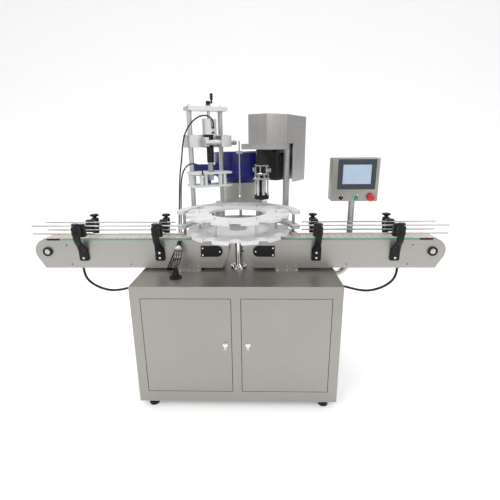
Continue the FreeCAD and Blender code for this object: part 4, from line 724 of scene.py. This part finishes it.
def addHeadMotor():
    low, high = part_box("head_motor")
    centre = middle("head_motor")
    half = 0.044
    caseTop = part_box("head_stand")[1].z
    caseTop = min(caseTop, high.z) - 0.070
    along = np.linspace(0, 2 * math.pi, 240, endpoint=False)
    plan = np.stack([np.cos(along), np.sin(along)], axis=-1)
    squared = plan / (np.abs(plan) ** 6).sum(axis=1, keepdims=True) ** (1 / 6)
    ripple = 1 - motor["finDepth"] / half * (0.5 + 0.5 * np.sign(np.sin(along * motor["fins"])))[:, None]
    smooth = squared * half
    ribbed = smooth * ripple
    cap = motor["endCap"]
    case = stackPlans([smooth * 0.96, smooth, smooth, ribbed, ribbed, smooth, smooth],
                      [low.z, low.z + 0.002, low.z + cap, low.z + cap + 0.001, caseTop - cap,
                       caseTop - cap + 0.001, caseTop])
    shaft = turned([(0.009, caseTop - 0.001), (0.009, high.z - 0.001), (0.0075, high.z)], 20)
    parts = [atStation(part, stations["head"]) for part in (case, shaft)]
    shift = np.array((centre.x, centre.y, 0))
    addPiece("finnedMotor", [(points + shift, faces) for points, faces in parts], "frame", "motorPaint",
             sharp=0.4, replaced=("head_motor",))


addHeadMotor()
print("capping head detailed")

# guide rails: rods with rounded ends, black clamp blocks with slots, pins and curved arms

rails = dict(low=0.861, high=0.902, offset=0.045, radius=0.004, pinHeight=0.882, armOffset=0.112,
             footLow=0.722, headTop=0.914)
stationPlaces = (0.402, 0.800)


def railRod(start, end, y, z):
    r = rails["radius"]
    profile = [(r * 0.4, 0), (r * 0.85, r * 0.3), (r, r), (r, end - start - r),
               (r * 0.85, end - start - r * 0.3), (r * 0.4, end - start)]
    return moved(turned(profile, 16), (start, y, z), acrossWay)


def clampBlock(x, way, wide):
    # three jaws stacked with a slot at each rod, on a back web
    near = rails["offset"] - 0.006
    far = rails["offset"] + 0.026
    y0, y1 = sorted((way * near, way * far))
    jaws = ((rails["low"] - 0.012, rails["low"] - 0.0042, wide),
            (rails["low"] + 0.0042, rails["high"] - 0.0042, wide),
            (rails["high"] + 0.0042, rails["high"] + 0.012, wide * 0.86))
    parts = [softBlock((x - half, y0, z0), (x + half, y1, z1), 0.004, 0.0015) for z0, z1, half in jaws]
    w0, w1 = sorted((way * (rails["offset"] + 0.006), way * (far - 0.001)))
    parts.append(softBlock((x - wide * 0.8, w0, rails["low"] - 0.008),
                           (x + wide * 0.8, w1, rails["high"] + 0.008)))
    return parts


def addRails():
    for side, label in ((-1, "left"), (1, "right")):
        for way, row in ((-1, "front"), (1, "rear")):
            node = f"{label}_{row}_rail"
            low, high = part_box(node)
            body = f"{label}_{row}_guide"
            y = way * rails["offset"]
            rods = [railRod(low.x, high.x, y, z) for z in (rails["low"], rails["high"])]
            pinStart = rails["offset"] + 0.020
            pinEnd = max(abs(low.y), abs(high.y)) - 0.008
            for x in stationPlaces:
                pin = turned([(0.0055, 0), (0.006, 0.001), (0.006, pinEnd - pinStart)], 16)
                rods.append(moved(pin, (side * x, way * pinStart, rails["pinHeight"]), alongWay * way))
            addPiece(f"{label}{row.title()}Rods", rods, body, "drawnSteel", replaced=(node,))
            blocks = []
            for x in stationPlaces:
                blocks += clampBlock(side * x, way, 0.019 if way < 0 else 0.024)
                cap = turned([(0.0055, 0), (0.0062, 0.001), (0.0062, 0.008), (0.005, 0.012)], 16)
                blocks.append(moved(cap, (side * x, way * (pinEnd - 0.004), rails["pinHeight"]),
                                    alongWay * way))
            addPiece(f"{label}{row.title()}Clamps", blocks, body, "blackPlastic")


addRails()


def easeIn(value):
    value = np.clip(value, 0, 1)
    return value * value * (3 - 2 * value)


def curvedArm(x, way):
    # outlines up the arm: the middle eases outwards, the width narrows to a waist and opens to the head
    z = np.concatenate([np.linspace(rails["footLow"], 0.735, 4), np.linspace(0.745, rails["headTop"], 26)])
    out = 0.0630 + (rails["armOffset"] - 0.0630) * easeIn((z - 0.768) / 0.082)
    thick = 0.0058 + 0.0026 * easeIn((z - 0.77) / 0.03) + 0.0012 * easeIn((z - 0.86) / 0.02)
    width = 0.0245 - 0.0085 * easeIn((z - 0.775) / 0.045) + 0.0035 * easeIn((z - 0.855) / 0.02)
    ends = np.minimum(1, np.minimum((z - z[0]) / 0.003 + 0.80, (z[-1] - z) / 0.003 + 0.80))
    plans = []
    for half, wide, y, end in zip(thick, width, out, ends):
        plans.append(roundedPlan(wide * end, half * end, 0.0035) + (x, way * y))
    return stackPlans(plans, z)


def addArms():
    arms = []
    bolts = []
    for side in (-1, 1):
        for index, x in enumerate(stationPlaces):
            for way in (-1, 1):
                arms.append(curvedArm(side * x, way))
                boss = turned([(0.0125, -0.013), (0.0135, -0.012), (0.0135, 0.012), (0.0125, 0.013)], 24)
                arms.append(moved(boss, (side * x, way * rails["armOffset"], rails["pinHeight"]), alongWay))
                rib = softBlock((side * x - 0.003, -0.004, 0.775), (side * x + 0.003, 0.004, 0.845), 0.002)
                arms.append((rib[0] + (0, way * 0.098, 0), rib[1]))
                if way < 0:
                    cap = fluted([(0.009, rails["headTop"], 0), (0.009, 0.917, 0), (0.017, 0.919, 0.002),
                                  (0.0185, 0.921, 0.003), (0.0185, 0.926, 0.003), (0.015, 0.9275, 0.001)],
                                  6, 60)
                    arms.append((cap[0] + (side * x, way * rails["armOffset"], 0), cap[1]))
                heights = (0.738, 0.766) if index == 0 else (0.738,)
                bolts += screws([(side * x, way * 0.0685, z) for z in heights], alongWay * way, 0.0062,
                                0.005)
    addPiece("curvedArms", arms, "frame", "blackPlastic", replaced=("rail_arms",))
    addPiece("armBolts", bolts, "frame", "brightChrome")


addArms()


def addKnobs():
    # five lobes on a cone neck, hollowed a little on top
    profile = [(0.0085, 0.0005, 0), (0.0095, 0.004, 0), (0.012, 0.007, 0), (0.021, 0.009, 0.004),
               (0.0235, 0.011, 0.006), (0.0238, 0.017, 0.006), (0.022, 0.0195, 0.005),
               (0.015, 0.0206, 0.001), (0.013, 0.0192, 0), (0.001, 0.0190, 0)]
    for side, label in ((-1, "left"), (1, "right")):
        for where in ("inner", "outer"):
            node = f"{label}_{where}_knob"
            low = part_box(node)[0]
            head = fluted(profile, 5, 80)
            stem = turned([(0.0035, low.z), (0.004, low.z + 0.001), (0.004, rails["headTop"] + 0.002)], 12)
            x = side * stationPlaces[0 if where == "inner" else 1]
            parts = [(head[0] + (x, rails["armOffset"], rails["headTop"]), head[1]),
                     (stem[0] + (x, rails["armOffset"], 0), stem[1])]
            addPiece(f"{label}{where.title()}LobedKnob", parts, f"{label}_{where}_clamp", "blackPlastic",
                     replaced=(node,))


addKnobs()
print("guide rails detailed")

# conveyor ends: black bearing covers, shaft ends with a key, screws on covers and brackets

conveyor = dict(face=0.057, shaftHeight=0.770, coverProud=0.007)


def addConveyorDetail():
    covers = []
    screwParts = []
    darkScrews = []
    for side, label in ((-1, "left"), (1, "right")):
        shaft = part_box(f"{label}_outer_shaft")
        x = (shaft[0].x + shaft[1].x) / 2
        z = conveyor["shaftHeight"]
        ring = turnedRing([(0.0135, 0), (0.0235, 0), (0.0238, 0.001), (0.0238, 0.0085), (0.0225, 0.0100),
                           (0.0175, 0.0100), (0.0165, 0.0085), (0.0145, 0.0080)])
        covers.append(moved(ring, (x, -conveyor["face"] - 0.0002, z), -alongWay))
        end = [turned([(0.0118, 0), (0.0125, 0.0005), (0.0125, 0.0012), (0.0095, 0.0014), (0.0088, 0.0006),
                       (0.0035, 0.0006), (0.0015, 0.0003)], 28),
               softBlock((-0.002, 0.0075, 0), (0.002, 0.0125, 0.0016), 0.0008, 0.0004)]
        addPiece(f"{label}ShaftEnd", [moved(part, (x, shaft[0].y, z), -alongWay) for part in end],
                 f"{label}_outer_drum", "turnedSteel")
        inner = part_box(f"{label}_inner_shaft")
        innerX = (inner[0].x + inner[1].x) / 2
        for way in (-1, 1):
            y = way * (conveyor["face"] + conveyor["coverProud"])
            places = [(side * 0.180, y, z - 0.018), (side * 0.180, y, z + 0.018),
                      (innerX - side * 0.020, y, z)]
            screwParts += screws(places, alongWay * way, 0.0042, 0.003)
            outer = 0.300 if way < 0 else 0.258
            feet = np.linspace(0.204, outer, 3)
            screwParts += screws([(side * fx, way * 0.0735, 0.671) for fx in feet], upWay, 0.0050, 0.005)
            screwParts += screws([(side * fx, way * 0.061, 0.693) for fx in feet], alongWay * way, 0.0045,
                                 0.004)
        for px, pz in ((0.888, 0.803), (0.872, 0.700), (0.560, 0.700)):
            darkScrews += screws([(side * px, -conveyor["face"], pz)], -alongWay, 0.0034, 0.0018)
    addPiece("bearingCovers", covers, "frame", "blackPlastic")
    addPiece("conveyorScrews", screwParts, "frame", "brightChrome")
    addPiece("plateScrews", darkScrews, "frame", "blackPlastic")


addConveyorDetail()
print("conveyor ends detailed")

# bowl: one profile turned round, a rolled rim, and a track that climbs inside

bowl = dict(outer=0.1765, lower=0.1735, wall=0.004, foot=0.1265, footRise=0.040, step=0.116,
            trackWidth=0.020)


def addBowl():
    low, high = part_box("feeder_bowl")
    centre = middle("feeder_bowl")
    z0, z1 = low.z, high.z
    outer, lower, wall = bowl["outer"], bowl["lower"], bowl["wall"]
    inside = lower - wall
    step = z0 + bowl["step"]
    floor = z0 + 0.048
    profile = [(bowl["foot"] - 0.010, z0), (bowl["foot"], z0 + 0.0015),
               (lower - 0.004, z0 + bowl["footRise"] - 0.003),
               (lower, z0 + bowl["footRise"] + 0.002), (lower, z0 + 0.066), (lower - 0.0012, z0 + 0.068),
               (lower - 0.0012, z0 + 0.071), (lower, z0 + 0.073), (lower, step - 0.003),
               (outer - 0.001, step),
               (outer - 0.0006, step + 0.002), (outer - 0.0012, z1 - 0.012), (outer, z1 - 0.008),
               (outer, z1 - 0.003), (outer - 0.002, z1), (outer - 0.0045, z1), (inside + 0.001, z1 - 0.004),
               (inside, z1 - 0.012),
               (inside, floor + 0.006), (inside - 0.006, floor), (0.020, floor + 0.006),
               (0.004, floor + 0.010)]
    shell = turned(profile, 96)
    # the track is a strip whose height grows evenly over two turns
    turn = np.linspace(0, 4 * math.pi, 120)
    rise = floor + 0.004 + (step - floor) * turn / turn[-1]
    section = [(inside + 0.0005, 0), (inside - bowl["trackWidth"], 0.0015),
               (inside - bowl["trackWidth"], -0.002), (inside + 0.0005, -0.004)]
    rings = np.stack([np.stack([r * np.cos(turn), r * np.sin(turn), rise + h], axis=-1) for r,
                      h in section], axis=1)
    track = ringStack(rings[:, ::-1])
    shift = np.array((centre.x, centre.y, 0))
    addPiece("turnedBowl", [(shell[0] + shift, shell[1]), (track[0] + shift, track[1])], "bowl",
             "bluePlastic",
             sharp=0.5, replaced=("feeder_bowl",))


addBowl()
print("bowl made")

# operator box: case with a lid, bezel with a recessed screen, button rings

panel = dict(bezelLeft=0.030, bezelRight=0.018, bezelLow=0.062, bezelHigh=0.214)


def facing(plan, y):
    # an outline across and up, standing at depth y
    return np.column_stack([plan[:, 0], np.full(len(plan), y), plan[:, 1]])


def addPanel():
    low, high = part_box("hmi_box")
    front = low.y + 0.006
    case = [softBlock((low.x + 0.0015, front + 0.0065, low.z + 0.0015),
                      (high.x - 0.0015, high.y, high.z - 0.0015), 0.003, 0.0015)]
    lidPlans = [(0.003, front), (0.0008, front + 0.001), (0, front + 0.003), (0, front + 0.0055)]
    centreX, centreZ = (low.x + high.x) / 2, (low.z + high.z) / 2
    halfX, halfZ = (high.x - low.x) / 2, (high.z - low.z) / 2
    rings = [facing(roundedPlan(halfX - inset, halfZ - inset, 0.004) + (centreX, centreZ), y)
             for inset, y in lidPlans]
    case.append(ringStack(np.stack(rings)))
    addPiece("operatorCase", case, "frame", "cabinetSteel", replaced=("hmi_box",))
    x0, x1 = low.x + panel["bezelLeft"], high.x - panel["bezelRight"]
    z0, z1 = low.z + panel["bezelLow"], low.z + panel["bezelHigh"]
    bezelX, bezelZ = (x0 + x1) / 2, (z0 + z1) / 2
    halfX, halfZ = (x1 - x0) / 2, (z1 - z0) / 2
    frames = [(0, 0, front), (0, 0, front - 0.0035), (0.003, 0.003, front - 0.0058),
              (0.011, 0.011, front - 0.0058),
              (0.012, 0.012, front - 0.0046), (0.014, 0.014, front - 0.0046),
              (0.015, 0.015, front - 0.0056),
              (0.0225, 0.025, front - 0.0056), (0.0245, 0.027, front - 0.0032)]
    rings = [facing(roundedPlan(halfX - ix, halfZ - iz, 0.003) + (bezelX, bezelZ), y) for ix, iz,
             y in frames]
    addPiece("screenBezel", [ringStack(np.stack(rings)[::-1])], "frame", "bezelPlastic")
    glass = [(0.0248, 0.0273, front - 0.0030), (0.0248, 0.0273, front - 0.0036),
             (0.0260, 0.0285, front - 0.0040)]
    rings = [facing(roundedPlan(halfX - ix, halfZ - iz, 0.001) + (bezelX, bezelZ), y) for ix, iz,
             y in glass]
    addPiece("screenGlass", [ringStack(np.stack(rings)[::-1])], "frame", "screenGlass")
    rims = []
    for node, radius in (("mode_switch", 0.0125), ("start_button", 0.0150), ("stop_button", 0.0150)):
        spot = middle(node)
        rim = turnedRing([(radius - 0.004, 0), (radius, 0), (radius + 0.0005, 0.001), (radius, 0.0030),
                          (radius - 0.002, 0.0040), (radius - 0.004, 0.0030)])
        rims.append(moved(rim, (spot.x, front, spot.z), -alongWay))
    addPiece("buttonRims", rims, "frame", "brightChrome")
    for node, name, body, finish, slotName, profile in (
            ("start_button", "startCap", "start", "greenButton", "green_button",
             [(0.0085, 0), (0.0085, 0.016), (0.0112, 0.0165), (0.0120, 0.018), (0.0120, 0.0235),
              (0.0100, 0.0255), (0.003, 0.0262)]),
            ("stop_button", "stopMushroom", "stop", "redButton", "red_button",
             [(0.0085, 0), (0.0085, 0.012), (0.0110, 0.020), (0.0190, 0.0225), (0.0200, 0.025),
              (0.0198, 0.028), (0.0165, 0.0325), (0.0090, 0.0348), (0.002, 0.0352)])):
        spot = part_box(node)
        back = spot[1].y
        reach = back - spot[0].y
        scaled = [(r, h * reach / profile[-1][1]) for r, h in profile]
        cap = moved(turned(scaled, 40), (middle(node).x, back, middle(node).z), -alongWay)
        addPiece(name, [cap], body, finish, replaced=(node,))
    spot = middle("mode_switch")
    mark = softBlock((spot.x - 0.0008, -0.0004, spot.z + 0.001), (spot.x + 0.0008, 0.0004, spot.z + 0.009),
                     0.0003, 0.0002)
    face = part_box("mode_switch")[0].y
    addPiece("switchMark", [(mark[0] + (0, face - 0.0003, 0), mark[1])], "selector", "whiteBoard")


addPanel()
print("operator box detailed")

# cap placer: crank lever, and the cylinder on its carriage

placer = dict(bodyHalf=0.021, bodyPlace=0.3225, bodyLow=1.350, bodyHigh=1.432, capHeight=0.008,
              rodPlace=(0.322, 0.005), sleeveRadius=0.020, sleeveLow=1.200, barPlace=0.300, barHeight=1.309,
              barNear=-0.146, bendRadius=0.006, elbowAcross=-0.006, elbowHeights=(1.360, 1.386))
crank = dict(place=(0.362, 0.008), turn=190, reach=0.036)


def addCrank():
    low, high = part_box("crank_handle")
    top = high.z
    base = low.z
    collar = turned([(0.009, base), (0.0125, base + 0.001), (0.013, base + 0.003), (0.013, top - 0.062),
                     (0.011, top - 0.059), (0.012, top - 0.057), (0.012, top - 0.038), (0.010, top - 0.036),
                     (0.003, top - 0.0355)], 28)
    t = np.linspace(0, 1, 14)
    # the lever dips and rises: its height follows one sine wave
    rings = []
    for step in t:
        half = 0.0075 - 0.0025 * step
        drop = 0.002 * math.sin(2 * math.pi * step)
        z = top - 0.0465 + drop
        rings.append([(0.008 + 0.030 * step, y, z + h) for y, h in ((-half, -0.0035), (half, -0.0035),
                                                                    (half, 0.0035), (-half, 0.0035))])
    lever = ringStack(np.array(rings))
    grip = turned([(0.005, top - 0.048), (0.005, top - 0.034), (0.0075, top - 0.033), (0.0088, top - 0.026),
                   (0.0076, top - 0.014), (0.0086, top - 0.006), (0.007, top - 0.001), (0.003, top)], 24)
    return collar, lever, (grip[0] + (crank["reach"], 0, 0), grip[1])


def placerPlace(radial, across, height=0.0):
    angle = math.radians(stations["placer"])
    return (radial * math.sin(angle) + across * math.cos(angle),
            radial * math.cos(angle) - across * math.sin(angle), height)


def addPlacer():
    collar, lever, grip = addCrank()
    spot = placerPlace(*crank["place"])
    gripWay = math.radians(90 - stations["placer"] + crank["turn"])
    addPiece("crankLever", [moved(part, spot, upWay, gripWay) for part in (collar, lever, grip)], "crank",
             "blackPlastic", replaced=("crank_handle",))
    # cylinder: profiled body with tie-rod corners, black cushion sleeve, elbows, cross bar
    half = placer["bodyHalf"]
    place = placer["bodyPlace"]
    low, high = placer["bodyLow"], placer["bodyHigh"]
    body = [softBlock((place - half, -0.031, low + 0.002), (place + half, 0.041, high - 0.002),
                      0.007, 0.0012)]
    for bottom, top in ((low, low + 0.007), (high - placer["capHeight"], high)):
        body.append(softBlock((place - half - 0.001, -0.032, bottom), (place + half + 0.001, 0.042, top),
                              0.008, 0.001))
    bar = turned([(0.0135, 0), (0.015, 0.0015), (0.015, 0.1885), (0.0135, 0.190)], 28)
    body.append(moved(bar, (placer["barPlace"], placer["barNear"], placer["barHeight"]), alongWay))
    outer = placer["sleeveRadius"]
    neck = outer - 0.0015
    foot = placer["sleeveLow"]
    sleeve = [turned([(neck, foot), (outer, foot + 0.002), (outer, foot + 0.085), (neck, foot + 0.087),
                      (neck, foot + 0.091), (outer, foot + 0.093), (outer, low)], 32)]
    sleeve = [(part[0] + (*placer["rodPlace"], 0), part[1]) for part in sleeve]
    ring = turned([(0.0155, 0), (0.0172, 0.001), (0.0172, 0.012), (0.0155, 0.013)], 28)
    ringSpot = (placer["barPlace"], placer["barNear"] + 0.036, placer["barHeight"])
    sleeve.append(moved(ring, ringSpot, alongWay))
    for z in placer["elbowHeights"]:
        turn = np.linspace(0, math.pi / 2, 8)
        across = placer["elbowAcross"]
        path = [(0.3025, across, z), (0.296, across, z)]
        path += [(0.296 - 0.006 * math.sin(a), across, z + 0.0055 * (1 - math.cos(a))) for a in turn[1:]]
        sleeve.append(tubeAlong(path, placer["bendRadius"] * 0.86, 12, (0, 1, 0)))
    addPiece("placerCylinderBody", [atStation(part, stations["placer"]) for part in body], "carriage",
             "satinAluminium", replaced=("placer_cylinder",))
    addPiece("placerSleeve", [atStation(part, stations["placer"]) for part in sleeve], "carriage",
             "blackPlastic")
    corners = [(place + x, 0.005 + y, high) for x in (-0.015, 0.015) for y in (-0.029, 0.029)]
    bolts = screws(corners, upWay, 0.0035, 0.003)
    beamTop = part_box("placer_carriage")[1].z
    bolts += screws([(0.3605, y, beamTop) for y in (-0.070, 0.030, 0.080)], upWay, 0.0045, 0.004)
    addPiece("carriageBolts", [atStation(part, stations["placer"]) for part in bolts], "carriage",
             "brightChrome")


addPlacer()
print("cap placer detailed")

# small fittings: keyholes, feeder base seams, front coupler, panel screws

fittings = dict(latchPlace=0.055, keyDrop=0.034, coupler=(-0.297, -0.128, 0.748))


def addFittings():
    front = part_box("left_door")[0].y
    latch = middle("left_door_latch")
    for side, label in ((-1, "left"), (1, "right")):
        ring = turnedRing([(0.0030, 0), (0.0065, 0), (0.0065, 0.0012), (0.0055, 0.0018), (0.0035, 0.0018),
                           (0.0030, 0.0012)], 24)
        place = (side * fittings["latchPlace"], front, latch.z - fittings["keyDrop"])
        addPiece(f"{label}Keyhole", [moved(ring, place, -alongWay)], f"{label}_door", "brightChrome")
    x, y, z = fittings["coupler"]
    way = Vector((0, 0.546, 0.838))
    shell = turned([(0.006, -0.002), (0.0165, 0.000), (0.018, 0.003), (0.018, 0.008), (0.012, 0.016),
                    (0.006, 0.022), (0.004, 0.0245)], 28)
    start = Vector((x, y, z)) + way * 0.050
    addPiece("couplerCone", [moved(shell, start, way)], "frame", "whiteBoard")
    ribs = [moved(turnedRing([(0.0055, 0), (0.0068, 0.0004), (0.0068, 0.0024), (0.0055, 0.0028)], 20),
                  Vector((x + dx, y, z)) + way * reach, way)
            for dx in (-0.012, 0, 0.012) for reach in np.linspace(0.006, 0.042, 6)]
    addPiece("couplerRibs", ribs, "frame", "drawnSteel")
    low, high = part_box("hmi_box")
    corners = [(low.x + 0.010, low.z + 0.010), (high.x - 0.010, low.z + 0.010),
               (low.x + 0.010, high.z - 0.010), (high.x - 0.010, high.z - 0.010)]
    addPiece("panelScrews", screws([(px, low.y + 0.006, pz) for px, pz in corners], -alongWay, 0.0028,
                                   0.0016),
             "frame", "brightChrome")
    low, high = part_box("feeder_base")
    axis = middle("feeder_bowl")
    seam = turnedRing([(0.112, 0.965), (0.1152, 0.9658), (0.1152, 0.9694), (0.112, 0.970)], 64)
    seam2 = turnedRing([(0.112, 1.020), (0.1152, 1.0208), (0.1152, 1.0244), (0.112, 1.025)], 64)
    seams = [(part[0] + (axis.x, axis.y, 0), part[1]) for part in (seam, seam2)]
    for index in range(8):
        a = 2 * math.pi * index / 8 + 0.2
        outward = Vector((math.cos(a), math.sin(a), 0))
        seams.append(moved(screwHead(0.0045, 0.003),
                           (axis.x + 0.1135 * outward.x, axis.y + 0.1135 * outward.y, 0.995), outward))
    addPiece("feederSeams", seams, "frame", "satinAluminium")


addFittings()
print("fittings made")

# floor, light and camera

def addFloor():
    # a wide sheet that rises behind in a smooth sweep: height grows with the square past the bend
    across = np.linspace(-9, 9, 19)
    along = np.concatenate([np.linspace(-6, 6, 7), np.linspace(6.4, 10, 12)])
    u, v = np.meshgrid(across, along, indexing="ij")
    rise = np.clip(v - 6, 0, None) ** 2 * 0.4
    points = np.stack([u, v, rise - 0.0005], axis=-1)
    mesh = bpy.data.meshes.new("studioFloor")
    mesh.from_pydata(points.reshape(-1, 3).tolist(), [], gridFaces(*u.shape, closeColumns=False))
    mesh.shade_smooth()
    material = bpy.data.materials.new("paleFloor")
    material.use_nodes = True
    tree = material.node_tree
    shader = tree.nodes["Principled BSDF"]
    place = addNode(tree, "ShaderNodeTexCoord").outputs["Object"]
    cloud = noiseNode(tree, place, 0.7)
    colour = mixColour(tree, cloud, (0.90, 0.90, 0.90), (0.93, 0.93, 0.93))
    tree.links.new(colour, shader.inputs["Base Color"])
    shader.inputs["Roughness"].default_value = 0.7
    shader.inputs["Emission Color"].default_value = (1, 1, 1, 1)
    shader.inputs["Emission Strength"].default_value = 0.22
    mesh.materials.append(material)
    floor = bpy.data.objects.new("studioFloor", mesh)
    bpy.context.scene.collection.objects.link(floor)


def addSoftLight(name, position, target, size, power):
    light = bpy.data.lights.new(name, "AREA")
    light.shape = "RECTANGLE"
    light.size, light.size_y = size
    light.energy = power
    lamp = bpy.data.objects.new(name, light)
    lamp.location = position
    way = Vector(target) - Vector(position)
    lamp.rotation_euler = way.to_track_quat("-Z", "Y").to_euler()
    bpy.context.scene.collection.objects.link(lamp)


studio = dict(horizon=(0.40, 0.39, 0.375), zenith=(0.98, 0.985, 1.0), backdrop=(1.0, 1.0, 1.0),
              worldPower=0.95)


def addWorld():
    # the camera sees a plain backdrop; everything else sees a tone that brightens with height, for contrast
    world = bpy.data.worlds.new("studioWorld")
    bpy.context.scene.world = world
    world.use_nodes = True
    tree = world.node_tree
    place = addNode(tree, "ShaderNodeTexCoord").outputs["Generated"]
    parts = addNode(tree, "ShaderNodeSeparateXYZ")
    tree.links.new(place, parts.inputs[0])
    height = mathNode(tree, "MULTIPLY_ADD", parts.outputs["Z"], 1.5, 0.12, clamp=True)
    dome = mixColour(tree, height, studio["horizon"], studio["zenith"])
    seen = addNode(tree, "ShaderNodeLightPath").outputs["Is Camera Ray"]
    tone = mixColour(tree, seen, dome, studio["backdrop"])
    background = tree.nodes["Background"]
    tree.links.new(tone, background.inputs["Color"])
    background.inputs["Strength"].default_value = studio["worldPower"]


view = dict(position=(0.10832, -1.82752, 1.30096), yaw=-0.0256, pitch=0.2879, roll=-0.0086, lens=25.88)


def addCamera():
    # yaw turns from +Y towards +X, pitch looks down, roll turns about the line of sight
    yaw, pitch, roll = view["yaw"], view["pitch"], view["roll"]
    ahead = Vector((math.sin(yaw) * math.cos(pitch), math.cos(yaw) * math.cos(pitch), -math.sin(pitch)))
    right = Vector((math.cos(yaw), -math.sin(yaw), 0))
    above = right.cross(ahead)
    side = right * math.cos(roll) + above * math.sin(roll)
    top = above * math.cos(roll) - right * math.sin(roll)
    data = bpy.data.cameras.new("mainCamera")
    data.lens = view["lens"]
    data.sensor_width = 36
    camera = bpy.data.objects.new("mainCamera", data)
    turn = Matrix((side, top, -ahead)).transposed().to_4x4()
    camera.matrix_world = Matrix.Translation(view["position"]) @ turn
    bpy.context.scene.collection.objects.link(camera)
    bpy.context.scene.camera = camera


addFloor()
addSoftLight("keyLight", (-2.6, -3.2, 3.6), (0, 0, 0.9), (2.2, 1.6), 62)
addSoftLight("fillLight", (3.0, -2.6, 2.4), (0, 0, 0.9), (1.6, 1.6), 26)
addSoftLight("topLight", (0, 0.6, 4.2), (0, 0.2, 0.8), (2.4, 1.8), 40)
addWorld()
bpy.context.scene.view_settings.view_transform = "Standard"
addCamera()
print("floor, light and camera set")
